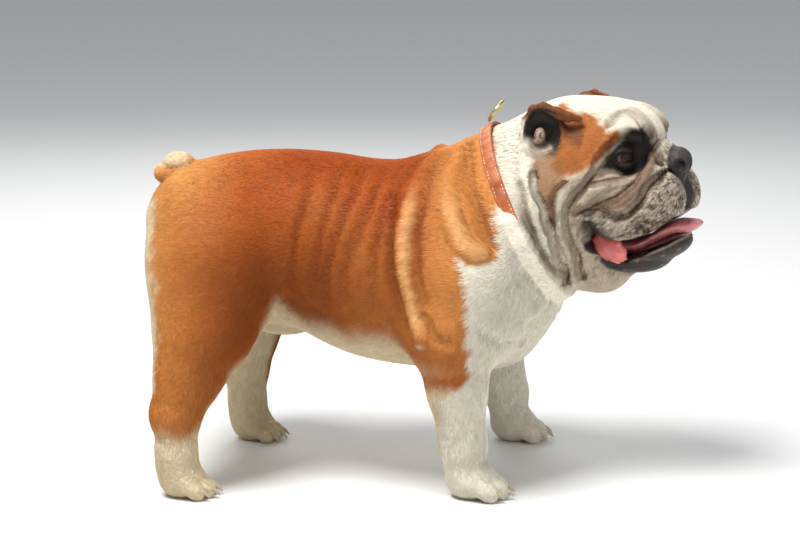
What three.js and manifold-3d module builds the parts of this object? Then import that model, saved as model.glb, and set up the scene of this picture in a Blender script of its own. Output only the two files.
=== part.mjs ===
// English bulldog standing in a show pose, life size, in millimetres.
// +X is the way the dog faces, +Y its left side, +Z up; all four soles stand on z = 0.
import * as THREE from 'three';
import Module from 'manifold-3d';

const wasm = await Module();
wasm.setup();

// Driving sizes
const GAP = 0.3;
const HEAD_AT = [255, 0, 365];
const HEAD_YAW = -17;
const EYE_AT = [53, 45, 12];
const EYE_RADIUS = 12;
const EYE_WAY = [0.78, 0.6, 0.1];
const FORE_FEET = { right: [143, -106], left: [173, 150] };
const HIND_FEET = { right: [-178, -140], left: [-147, 112] };
const FORE_PAW = 0.94;
const HIND_PAW = 0.84;
const COLLAR_AT = [166, 0, 350];
const COLLAR_TILT = { yaw: -5, pitch: 26 };
const COLLAR_WIDTH = 15;
const COLLAR_THICK = 4;
const RING_RADIUS = 13;
const RING_WIRE = 2;
const RING_LIFT = 28;
const BODY_TRIANGLES = 7800;
const COARSE = 4.6;
const FINE = 2.9;
const FAR = 30;

// Body along X: place, top, bottom, half width
const TRUNK = [
  [-254, 305, 268, 16], [-245, 324, 240, 46], [-226, 344, 200, 76], [-190, 361, 176, 95],
  [-140, 371, 170, 101], [-90, 374, 171, 100], [-40, 371, 162, 109], [10, 364, 148, 121],
  [45, 364, 138, 132], [80, 370, 129, 139], [115, 376, 124, 139], [150, 378, 126, 130],
  [183, 374, 138, 112], [204, 352, 163, 86], [221, 320, 195, 50],
];

// Folds of loose skin: points (x, z) on the side, radius, and how far the ridge stands out
const BODY_FOLDS = [
  { path: [[91, 390], [70, 349], [60, 305], [62, 262], [70, 229], [81, 190]], radius: 13, raise: 6 },
  { path: [[118, 392], [108, 357], [113, 319], [129, 291], [145, 281]], radius: 13, raise: 6 },
  { path: [[188, 392], [192, 350], [204, 310], [222, 262]], radius: 12, raise: 4 },
  { path: [[195, 288], [214, 250], [212, 222], [194, 206]], radius: 14, raise: 4 },
];

// Folds of the face: the cheek roll, the roll under the eye, the roll beside the nose, the throat roll
const HEAD_FOLDS = [
  { path: [[42, 29], [36, 9], [22, -2], [8, -12], [1, -26], [2, -42], [3, -58], [6, -74], [8, -91],
    [6, -110], [6, -126]], radius: 10, raise: 7 },
  { path: [[62, -8], [45, -12], [32, -20], [22, -31], [16, -43], [14, -55], [13, -73]], radius: 8, raise: 6 },
  { path: [[80, 15], [81, -3], [74, -21], [63, -31], [52, -36], [41, -37]], radius: 8, raise: 5 },
  { path: [[-34, -7], [-29, -22], [-25, -37], [-20, -50], [-15, -66], [-9, -85], [-4, -104]],
    radius: 12, raise: 6 },
];

// Ear: the hollow of the cup and the lump in it, in the head's own frame, then ridges of its rim
const EAR_CUP = { at: [-26, 88, 42], radii: [20, 17, 23] };
const EAR_LUMP = { at: [-31, 78, 36], radii: [8, 7, 11] };
const EAR_RIDGES = [
  { path: [[-47, 80, 52], [-38, 85, 66], [-25, 86, 70], [-10, 83, 65], [2, 77, 59], [12, 70, 55]], radius: 5 },
  { path: [[-26, 84, 66], [-10, 82, 58], [2, 76, 54]], radius: 4.5 },
  { path: [[-49, 80, 54], [-50, 82, 38], [-50, 84, 22], [-57, 86, 12]], radius: 4.5 },
  { path: [[-50, 84, 20], [-38, 85, 13], [-24, 80, 18], [-12, 76, 30]], radius: 3.5 },
];

// Mouth: points (x, z, half gap) in the head's own frame
const MOUTH = [
  [25, -62, 4], [30, -76, 8], [40, -88, 11], [55, -92, 10], [72, -87, 8],
  [96, -75, 7.5], [114, -62, 9], [132, -56, 12],
];
// Tongue: rows of x, z, half width, half height
const TONGUE = [
  [20, -88, 16, 7], [60, -90, 26, 8], [86, -77, 26, 9], [104, -67, 25, 9], [120, -65, 21, 8], [132, -62, 12, 4],
];

function turned(yaw = 0, pitch = 0, roll = 0) {
  const rad = THREE.MathUtils.degToRad;
  return new THREE.Matrix4().makeRotationFromEuler(
    new THREE.Euler(rad(roll), -rad(pitch), rad(yaw), 'ZYX'));
}

const HEAD_TURN = turned(HEAD_YAW);

function inHead(x, y, z) {
  const p = new THREE.Vector3(x, y, z).applyMatrix4(HEAD_TURN);
  return [p.x + HEAD_AT[0], p.y + HEAD_AT[1], p.z + HEAD_AT[2]];
}

function headTurned(yaw = 0, pitch = 0, roll = 0) {
  return HEAD_TURN.clone().multiply(turned(yaw, pitch, roll));
}

function mix(a, b, t) {
  return a.map((v, i) => v + (b[i] - v) * t);
}

// Shapes by distance: each has its box and the distance from its surface
function ball(centre, radii, turn = new THREE.Matrix4()) {
  const e = turn.elements;
  const reach = [0, 1, 2].map((i) => Math.hypot(e[i] * radii[0], e[i + 4] * radii[1], e[i + 8] * radii[2]));
  return {
    low: centre.map((v, i) => v - reach[i]),
    high: centre.map((v, i) => v + reach[i]),
    distance(x, y, z) {
      const dx = x - centre[0];
      const dy = y - centre[1];
      const dz = z - centre[2];
      const u = (dx * e[0] + dy * e[1] + dz * e[2]) / radii[0];
      const v = (dx * e[4] + dy * e[5] + dz * e[6]) / radii[1];
      const w = (dx * e[8] + dy * e[9] + dz * e[10]) / radii[2];
      const near = Math.sqrt(u * u + v * v + w * w);
      const slope = Math.hypot(u / radii[0], v / radii[1], w / radii[2]);
      return near * (near - 1) / Math.max(slope, 1e-9);
    },
  };
}

function cone(a, b, radiusA, radiusB, side = null, flat = 1) {
  const spread = Math.max(radiusA, radiusB) * (flat - 1);
  const squeeze = (v) => {
    if (!side) return v;
    const along = (v[0] * side[0] + v[1] * side[1] + v[2] * side[2]) * (1 / flat - 1);
    return v.map((c, i) => c + along * side[i]);
  };
  const axis = squeeze(b.map((v, i) => v - a[i]));
  const length2 = axis[0] ** 2 + axis[1] ** 2 + axis[2] ** 2;
  const drop = radiusA - radiusB;
  const slope2 = length2 - drop * drop;
  return {
    low: a.map((v, i) => Math.min(v - radiusA, b[i] - radiusB) - spread),
    high: a.map((v, i) => Math.max(v + radiusA, b[i] + radiusB) + spread),
    distance(x, y, z) {
      const p = squeeze([x - a[0], y - a[1], z - a[2]]);
      const along = p[0] * axis[0] + p[1] * axis[1] + p[2] * axis[2];
      const past = along - length2;
      const off2 = (p[0] * length2 - axis[0] * along) ** 2 + (p[1] * length2 - axis[1] * along) ** 2
        + (p[2] * length2 - axis[2] * along) ** 2;
      const along2 = along * along * length2;
      const past2 = past * past * length2;
      const limit = Math.sign(drop) * drop * drop * off2;
      if (Math.sign(past) * slope2 * past2 > limit) return Math.sqrt(off2 + past2) / length2 - radiusB;
      if (Math.sign(along) * slope2 * along2 < limit) return Math.sqrt(off2 + along2) / length2 - radiusA;
      return (Math.sqrt(off2 * slope2 / length2) + along * drop) / length2 - radiusA;
    },
  };
}

// Rounded body through sections along X
function loft(rows, power) {
  const slope = rows.map((row, i) => {
    const before = rows[Math.max(i - 1, 0)];
    const after = rows[Math.min(i + 1, rows.length - 1)];
    return row.map((v, k) => (after[k] - before[k]) / (after[0] - before[0]));
  });
  const first = rows[0];
  const last = rows[rows.length - 1];
  const section = (x) => {
    let i = 0;
    while (i < rows.length - 2 && x > rows[i + 1][0]) i += 1;
    const step = rows[i + 1][0] - rows[i][0];
    const t = Math.min(Math.max((x - rows[i][0]) / step, 0), 1);
    return [1, 2, 3].map((k) => (1 + 2 * t) * (1 - t) ** 2 * rows[i][k] + t * (1 - t) ** 2 * step * slope[i][k]
      + t * t * (3 - 2 * t) * rows[i + 1][k] + t * t * (t - 1) * step * slope[i + 1][k]);
  };
  const width = Math.max(...rows.map((row) => row[3]));
  let lastX = NaN;
  let now = null;
  return {
    low: [first[0], -width, Math.min(...rows.map((row) => row[2]))],
    high: [last[0], width, Math.max(...rows.map((row) => row[1]))],
    distance(x, y, z) {
      if (x !== lastX) {
        now = section(x);
        lastX = x;
      }
      const half = Math.max((now[0] - now[1]) / 2, 0.1);
      const wide = Math.max(now[2], 0.1);
      const u = Math.abs(y) / wide;
      const v = Math.abs(z - (now[0] + now[1]) / 2) / half;
      const near = (u ** power + v ** power) ** (1 / power);
      const tilt = Math.hypot(u ** (power - 1) / wide, v ** (power - 1) / half) / Math.max(near, 1e-6) ** (power - 1);
      const d = near < 0.3 ? -Math.min(wide, half) * 0.7 : (near - 1) / Math.max(tilt, 1e-6);
      const over = Math.max(first[0] - x, x - last[0]);
      return over > 0 ? Math.hypot(Math.max(d, 0), over) : d;
    },
  };
}

// Smooth field of distances on a grid that is finer round the head
class Field {
  constructor(axes) {
    this.axes = axes;
    this.counts = axes.map((axis) => axis.length);
    this.value = new Float32Array(this.counts[0] * this.counts[1] * this.counts[2]).fill(FAR);
  }

  change(low, high, update) {
    const range = this.axes.map((axis, i) => {
      let from = axis.findIndex((v) => v >= low[i]);
      let to = axis.findIndex((v) => v > high[i]);
      if (from < 0) from = axis.length;
      if (to < 0) to = axis.length;
      return [Math.max(from - 1, 0), Math.min(to + 1, axis.length)];
    });
    const [ax, ay, az] = this.axes;
    for (let i = range[0][0]; i < range[0][1]; i += 1) {
      for (let j = range[1][0]; j < range[1][1]; j += 1) {
        let n = (i * this.counts[1] + j) * this.counts[2] + range[2][0];
        for (let k = range[2][0]; k < range[2][1]; k += 1, n += 1) {
          this.value[n] = update(this.value[n], ax[i], ay[j], az[k]);
        }
      }
    }
  }

  add(shape, blend) {
    const grow = (v) => v + FAR;
    const shrink = (v) => v - FAR;
    this.change(shape.low.map(shrink), shape.high.map(grow), (now, x, y, z) => {
      const d = shape.distance(x, y, z);
      const h = Math.min(Math.max(0.5 + 0.5 * (now - d) / blend, 0), 1);
      return now + (d - now) * h - blend * h * (1 - h);
    });
  }

  cut(shape, blend) {
    const margin = 2 * blend;
    this.change(shape.low.map((v) => v - margin), shape.high.map((v) => v + margin), (now, x, y, z) => {
      const d = -shape.distance(x, y, z);
      const h = Math.min(Math.max(0.5 - 0.5 * (now - d) / blend, 0), 1);
      return now + (d - now) * h + blend * h * (1 - h);
    });
  }

  at(point) {
    const cell = [];
    const part = [];
    for (let i = 0; i < 3; i += 1) {
      const axis = this.axes[i];
      let low = 0;
      let high = axis.length - 1;
      while (high - low > 1) {
        const middle = (low + high) >> 1;
        if (axis[middle] <= point[i]) low = middle;
        else high = middle;
      }
      cell.push(low);
      part.push(Math.min(Math.max((point[i] - axis[low]) / (axis[low + 1] - axis[low]), 0), 1));
    }
    let sum = 0;
    for (let corner = 0; corner < 8; corner += 1) {
      let weight = 1;
      const place = cell.map((c, i) => {
        const up = (corner >> i) & 1;
        weight *= up ? part[i] : 1 - part[i];
        return c + up;
      });
      sum += weight * this.value[(place[0] * this.counts[1] + place[1]) * this.counts[2] + place[2]];
    }
    return sum;
  }

  normal(point, step = 3) {
    const slope = [0, 1, 2].map((i) => {
      const ahead = point.map((v, k) => (k === i ? v + step : v));
      const behind = point.map((v, k) => (k === i ? v - step : v));
      return this.at(ahead) - this.at(behind);
    });
    return new THREE.Vector3(...slope).normalize().toArray();
  }

  // First point of the surface on the way from a start
  hit(start, way, reach = 260, step = 1.5) {
    let before = this.at(start);
    for (let t = step; t < reach; t += step) {
      const value = this.at(start.map((v, i) => v + way[i] * t));
      if (value < 0) {
        const back = t - step * value / (value - before);
        return start.map((v, i) => v + way[i] * back);
      }
      before = value;
    }
    return null;
  }
}

// Ridges of skin laid on the surface along a path seen from the side
function fold(field, points, radius, raise) {
  const centres = points.filter(Boolean).map((point) => {
    const out = field.normal(point);
    return point.map((v, i) => v - out[i] * (radius - raise));
  });
  for (let i = 1; i < centres.length; i += 1) {
    field.add(cone(centres[i - 1], centres[i], radius, radius), 6);
  }
}

function smoothPath(path, count) {
  const curve = new THREE.CatmullRomCurve3(path.map(([x, z]) => new THREE.Vector3(x, 0, z)));
  return curve.getPoints(count).map((p) => [p.x, p.z]);
}

function bodySide(field, path, side) {
  return smoothPath(path, 14).map(([x, z]) => field.hit([x, side * 190, z], [0, -side, 0]));
}

function headSide(field, path, side) {
  const start = (x, z) => inHead(x, side * 130, z);
  const way = new THREE.Vector3(0, -side, 0).applyMatrix4(HEAD_TURN).toArray();
  return smoothPath(path, 18).map(([x, z]) => field.hit(start(x, z), way, 120, 1));
}

// Masses of the body
function trunk(field) {
  field.add(loft(TRUNK, 2.2), 10);
  field.add(cone([112, 0, 266], [185, 0, 310], 110, 96), 20);
  field.add(cone([185, 0, 310], [240, -4, 352], 96, 80), 20);
  for (const side of [-1, 1]) {
    field.add(ball([98, side * 92, 258], [60, 50, 92], turned(0, 15)), 30);
    field.add(ball([138, side * 86, 205], [48, 50, 60]), 25);
    field.add(ball([-172, side * 60, 262], [66, 55, 84], turned(0, -10)), 30);
    field.add(ball([30, side * 60, 240], [110, 66, 90]), 40);
  }
  field.add(ball([190, 0, 232], [32, 66, 54]), 30);
  field.add(ball([-96, 0, 176], [38, 24, 20]), 16);
}

function pawPoint(foot, yaw, size, x, y, z) {
  const p = new THREE.Vector3(x, y, z).multiplyScalar(size).applyMatrix4(turned(yaw));
  return [foot[0] + p.x, foot[1] + p.y, p.z];
}

// Toes: place across and along the paw
const TOES = [[-23, 8], [-8.5, 18], [8.5, 18], [23, 8]];

function paw(field, foot, yaw, size) {
  const at = (x, y, z) => pawPoint(foot, yaw, size, x, y, z);
  const turn = turned(yaw);
  field.add(cone(at(-20, 0, 58), at(-17, 0, 26), 26 * size, 26 * size), 12);
  field.add(ball(at(-7, 0, 20), [29 * size, 29 * size, 22 * size], turn), 12);
  for (const [across, along] of TOES) {
    field.add(cone(at(along - 18, across * 0.8, 22), at(along, across, 14), 13 * size, 12.5 * size), 4);
    field.add(ball(at(along + 5, across * 1.04, 10), [12 * size, 9.5 * size, 12 * size], turn), 4);
  }
}

function foreleg(field, side, foot) {
  const [fx, fy] = foot;
  const elbow = [110 + (fx - FORE_FEET.right[0]) * 0.6, side * 116, 188];
  const wrist = [fx - 20, fy, 62];
  const middle = mix(elbow, wrist, 0.5);
  field.add(cone([122, side * 102, 235], elbow, 55, 45), 30);
  field.add(cone(elbow, middle, 42, 32), 20);
  field.add(cone(middle, wrist, 32, 27), 15);
  paw(field, foot, side < 0 ? 0 : 8, FORE_PAW);
}

function hindleg(field, side, foot) {
  const [fx, fy] = foot;
  const hip = [-160, side * 66, 250];
  const knee = [fx * 0.35 - 110, side * 102, 176];
  const hock = [fx - 17, fy * 0.97, 92];
  const shin = mix(knee, hock, 0.5);
  field.add(cone(hip, knee, 74, 50), 30);
  field.add(ball(mix(hip, knee, 0.45), [56, 44, 72]), 30);
  field.add(cone(knee, shin, 50, 37), 20);
  field.add(cone(shin, hock, 37, 29), 15);
  field.add(ball([hock[0] - 11, hock[1], 94], [15, 16, 18]), 12);
  field.add(cone(hock, [fx - 16, fy, 34], 25, 22.5), 12);
  paw(field, foot, 0, HIND_PAW);
}

function tail(field) {
  field.add(cone([-204, 0, 342], [-222, -4, 352], 18, 13), 10);
  field.add(ball([-216, -6, 359], [19, 14, 12]), 5);
  field.add(ball([-232, -6, 345], [15, 14, 14]), 4);
}

function skull(field) {
  field.add(ball(inHead(-8, 0, 20), [76, 76, 53], HEAD_TURN), 20);
  field.add(ball(inHead(34, 0, 25), [54, 62, 45], HEAD_TURN), 20);
  for (const side of [-1, 1]) {
    field.add(ball(inHead(50, side * 31, 43), [28, 26, 22], headTurned(side * 15)), 12);
    field.add(ball(inHead(63, side * 38, 37), [18, 18, 16], HEAD_TURN), 10);
    field.add(ball(inHead(-4, side * 60, -24), [50, 32, 58], HEAD_TURN), 20);
    field.add(ball(inHead(22, side * 58, -52), [36, 28, 44], HEAD_TURN), 15);
    field.add(ball(inHead(76, side * 31, -34), [46, 36, 42], headTurned(side * -8)), 10);
    field.add(ball(inHead(52, side * 50, -46), [40, 26, 34], headTurned(side * -20)), 12);
  }
  field.add(ball(inHead(80, 0, 0), [30, 30, 24], HEAD_TURN), 10);
  field.add(ball(inHead(68, 0, -88), [55, 51, 25], headTurned(0, 8)), 6);
  field.add(ball(inHead(56, 0, -104), [42, 36, 20], HEAD_TURN), 8);
}

// Loose skin under the jaw
function dewlap(field) {
  field.add(ball(inHead(-14, 0, -78), [58, 60, 62], HEAD_TURN), 20);
  field.add(ball(inHead(14, 0, -118), [38, 34, 32], HEAD_TURN), 14);
}

// Nose: its pad, the roll behind it, the column down to the lips, then wings and nostrils
function nose(field) {
  field.add(ball(inHead(88, 0, 13), [16, 25, 14], HEAD_TURN), 8);
  field.add(ball(inHead(103, 0, 7), [17, 21, 17], HEAD_TURN), 4);
  field.add(cone(inHead(106, 0, 0), inHead(101, 0, -26), 12, 10), 8);
  for (const side of [-1, 1]) {
    field.add(ball(inHead(106, side * 12, 3), [11, 11, 11], HEAD_TURN), 3);
    field.cut(cone(inHead(113, side * 17, -9), inHead(98, side * 25, -8), 3.6, 3.2), 2);
    field.cut(ball(inHead(117, side * 13, 1), [6, 5, 6], HEAD_TURN), 2);
  }
}

function mouth(field) {
  const side = new THREE.Vector3(0, 1, 0).applyMatrix4(HEAD_TURN).toArray();
  for (let i = 1; i < MOUTH.length; i += 1) {
    const [x0, z0, gap0] = MOUTH[i - 1];
    const [x1, z1, gap1] = MOUTH[i];
    field.cut(cone(inHead(x0, 0, z0), inHead(x1, 0, z1), gap0, gap1, side, 30), 3);
  }
}

// Sockets and lids
function sockets(field) {
  for (const side of [-1, 1]) {
    const centre = inHead(EYE_AT[0], side * EYE_AT[1], EYE_AT[2]);
    const way = new THREE.Vector3(EYE_WAY[0], side * EYE_WAY[1], EYE_WAY[2]).normalize().applyMatrix4(HEAD_TURN);
    const across = new THREE.Vector3(0, 0, 1).cross(way).normalize();
    const up = way.clone().cross(across);
    const turn = new THREE.Matrix4().makeBasis(way, across, up);
    const front = centre.map((v, i) => v + way.getComponent(i) * EYE_RADIUS);
    field.cut(ball(front, [10, 20, 15], turn), 12);
    field.add(ball(centre, [15, 15, 15]), 3);
    field.cut(ball(front, [15, 11, 6.2], turn), 2);
  }
}

// Folded ears: a cup open to the side, its front edge laid forward on the skull
function ears(field) {
  for (const side of [-1, 1]) {
    const at = (x, y, z) => inHead(x, side * y, z);
    field.add(ball(at(-28, 74, 42), [25, 15, 30], headTurned(0, 10)), 8);
    field.cut(ball(at(...EAR_CUP.at), EAR_CUP.radii, headTurned(0, 10)), 3);
    for (const { path, radius } of EAR_RIDGES) {
      for (let i = 1; i < path.length; i += 1) {
        field.add(cone(at(...path[i - 1]), at(...path[i]), radius, radius), 3);
      }
    }
    field.add(ball(at(...EAR_LUMP.at), EAR_LUMP.radii, HEAD_TURN), 3);
  }
}

function wholeField() {
  const stretch = (from, turnAt, to, first, second) => {
    const axis = [];
    for (let v = from; v < turnAt; v += first) axis.push(v);
    for (let v = turnAt; v < to; v += second) axis.push(v);
    return axis;
  };
  const field = new Field([
    stretch(-272, 150, 402, COARSE, FINE),
    stretch(-206, 206, 206, 3.6, 3.6),
    stretch(-12, 205, 456, COARSE, FINE),
  ]);
  trunk(field);
  foreleg(field, -1, FORE_FEET.right);
  foreleg(field, 1, FORE_FEET.left);
  hindleg(field, -1, HIND_FEET.right);
  hindleg(field, 1, HIND_FEET.left);
  tail(field);
  skull(field);
  dewlap(field);
  for (const side of [-1, 1]) {
    const onBody = BODY_FOLDS.map(({ path }) => bodySide(field, path, side));
    const onHead = HEAD_FOLDS.map(({ path }) => headSide(field, path, side));
    BODY_FOLDS.forEach(({ radius, raise }, i) => fold(field, onBody[i], radius, raise));
    HEAD_FOLDS.forEach(({ radius, raise }, i) => fold(field, onHead[i], radius, raise));
  }
  nose(field);
  ears(field);
  mouth(field);
  sockets(field);
  return field;
}

// Surface of the field: each cell is split in six tetrahedra round its long diagonal
const TETRAHEDRA = [[0, 1, 3, 7], [0, 1, 5, 7], [0, 2, 3, 7], [0, 2, 6, 7], [0, 4, 5, 7], [0, 4, 6, 7]];
const EDGE_ROOM = 0.08;

function surface(field) {
  const { value, counts, axes } = field;
  const [nx, ny, nz] = counts;
  const points = [];
  const faces = [];
  const known = new Map();
  const gridIndex = (i, j, k, corner) => ((i + (corner & 1)) * ny + j + ((corner >> 1) & 1)) * nz
    + k + ((corner >> 2) & 1);
  const place = (i, j, k, corner) => [
    axes[0][i + (corner & 1)], axes[1][j + ((corner >> 1) & 1)], axes[2][k + ((corner >> 2) & 1)]];
  const vertex = (i, j, k, a, b) => {
    const low = Math.min(a, b);
    const high = Math.max(a, b);
    const start = gridIndex(i, j, k, low);
    const key = start * 8 + (high ^ low);
    if (known.has(key)) return known.get(key);
    const from = value[start];
    const to = value[gridIndex(i, j, k, high)];
    const t = Math.min(Math.max(from / (from - to), EDGE_ROOM), 1 - EDGE_ROOM);
    const p = mix(place(i, j, k, low), place(i, j, k, high), t);
    known.set(key, points.length / 3);
    points.push(...p);
    return points.length / 3 - 1;
  };
  const triangle = (a, b, c, outward) => {
    const p = (n) => [points[3 * n], points[3 * n + 1], points[3 * n + 2]];
    const [pa, pb, pc] = [p(a), p(b), p(c)];
    const u = pb.map((v, i) => v - pa[i]);
    const w = pc.map((v, i) => v - pa[i]);
    const side = (u[1] * w[2] - u[2] * w[1]) * outward[0] + (u[2] * w[0] - u[0] * w[2]) * outward[1]
      + (u[0] * w[1] - u[1] * w[0]) * outward[2];
    if (side > 0) faces.push(a, b, c);
    else faces.push(a, c, b);
  };
  for (let i = 0; i < nx - 1; i += 1) {
    for (let j = 0; j < ny - 1; j += 1) {
      for (let k = 0; k < nz - 1; k += 1) {
        let inside = 0;
        for (let corner = 0; corner < 8; corner += 1) {
          if (value[gridIndex(i, j, k, corner)] < 0) inside |= 1 << corner;
        }
        if (inside === 0 || inside === 255) continue;
        for (const tetra of TETRAHEDRA) {
          const within = tetra.filter((corner) => inside & (1 << corner));
          const without = tetra.filter((corner) => !(inside & (1 << corner)));
          if (!within.length || !without.length) continue;
          const centre = (set) => set.map((corner) => place(i, j, k, corner))
            .reduce((sum, p) => sum.map((v, n) => v + p[n] / set.length), [0, 0, 0]);
          const inner = centre(within);
          const outward = centre(without).map((v, n) => v - inner[n]);
          const cut = (a, b) => vertex(i, j, k, a, b);
          if (within.length === 2) {
            const [a, b] = within;
            const [c, d] = without;
            triangle(cut(a, c), cut(a, d), cut(b, d), outward);
            triangle(cut(a, c), cut(b, d), cut(b, c), outward);
          } else {
            const lone = within.length === 1 ? within[0] : without[0];
            const rest = within.length === 1 ? without : within;
            triangle(cut(lone, rest[0]), cut(lone, rest[1]), cut(lone, rest[2]), outward);
          }
        }
      }
    }
  }
  return { points: Float64Array.from(points), faces: Int32Array.from(faces) };
}

// The connected surface with the most triangles
function largestShell({ points, faces }) {
  const parent = Int32Array.from({ length: points.length / 3 }, (_, i) => i);
  const root = (v) => {
    let top = v;
    while (parent[top] !== top) {
      parent[top] = parent[parent[top]];
      top = parent[top];
    }
    return top;
  };
  for (let f = 0; f < faces.length; f += 3) {
    parent[root(faces[f])] = root(faces[f + 1]);
    parent[root(faces[f + 1])] = root(faces[f + 2]);
  }
  const size = new Map();
  for (let f = 0; f < faces.length; f += 3) {
    const top = root(faces[f]);
    size.set(top, (size.get(top) ?? 0) + 1);
  }
  const best = [...size].sort((a, b) => b[1] - a[1])[0][0];
  const kept = [];
  for (let f = 0; f < faces.length; f += 3) {
    if (root(faces[f]) === best) kept.push(faces[f], faces[f + 1], faces[f + 2]);
  }
  return { points, faces: Int32Array.from(kept) };
}

// Heap of edges, cheapest first
class Heap {
  constructor() {
    this.items = [];
  }

  push(item) {
    const { items } = this;
    let i = items.length;
    items.push(item);
    while (i > 0) {
      const up = (i - 1) >> 1;
      if (items[up].cost <= item.cost) break;
      items[i] = items[up];
      i = up;
    }
    items[i] = item;
  }

  pop() {
    const { items } = this;
    const top = items[0];
    const item = items.pop();
    const count = items.length;
    let i = 0;
    while (count) {
      let down = 2 * i + 1;
      if (down >= count) break;
      if (down + 1 < count && items[down + 1].cost < items[down].cost) down += 1;
      if (items[down].cost >= item.cost) break;
      items[i] = items[down];
      i = down;
    }
    if (count) items[i] = item;
    return top;
  }
}

// Joins edges, least change of shape first, until the wanted number of triangles is left
const SAME_WAY = 0.25;
const SHORT_FIRST = 0.002;

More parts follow.
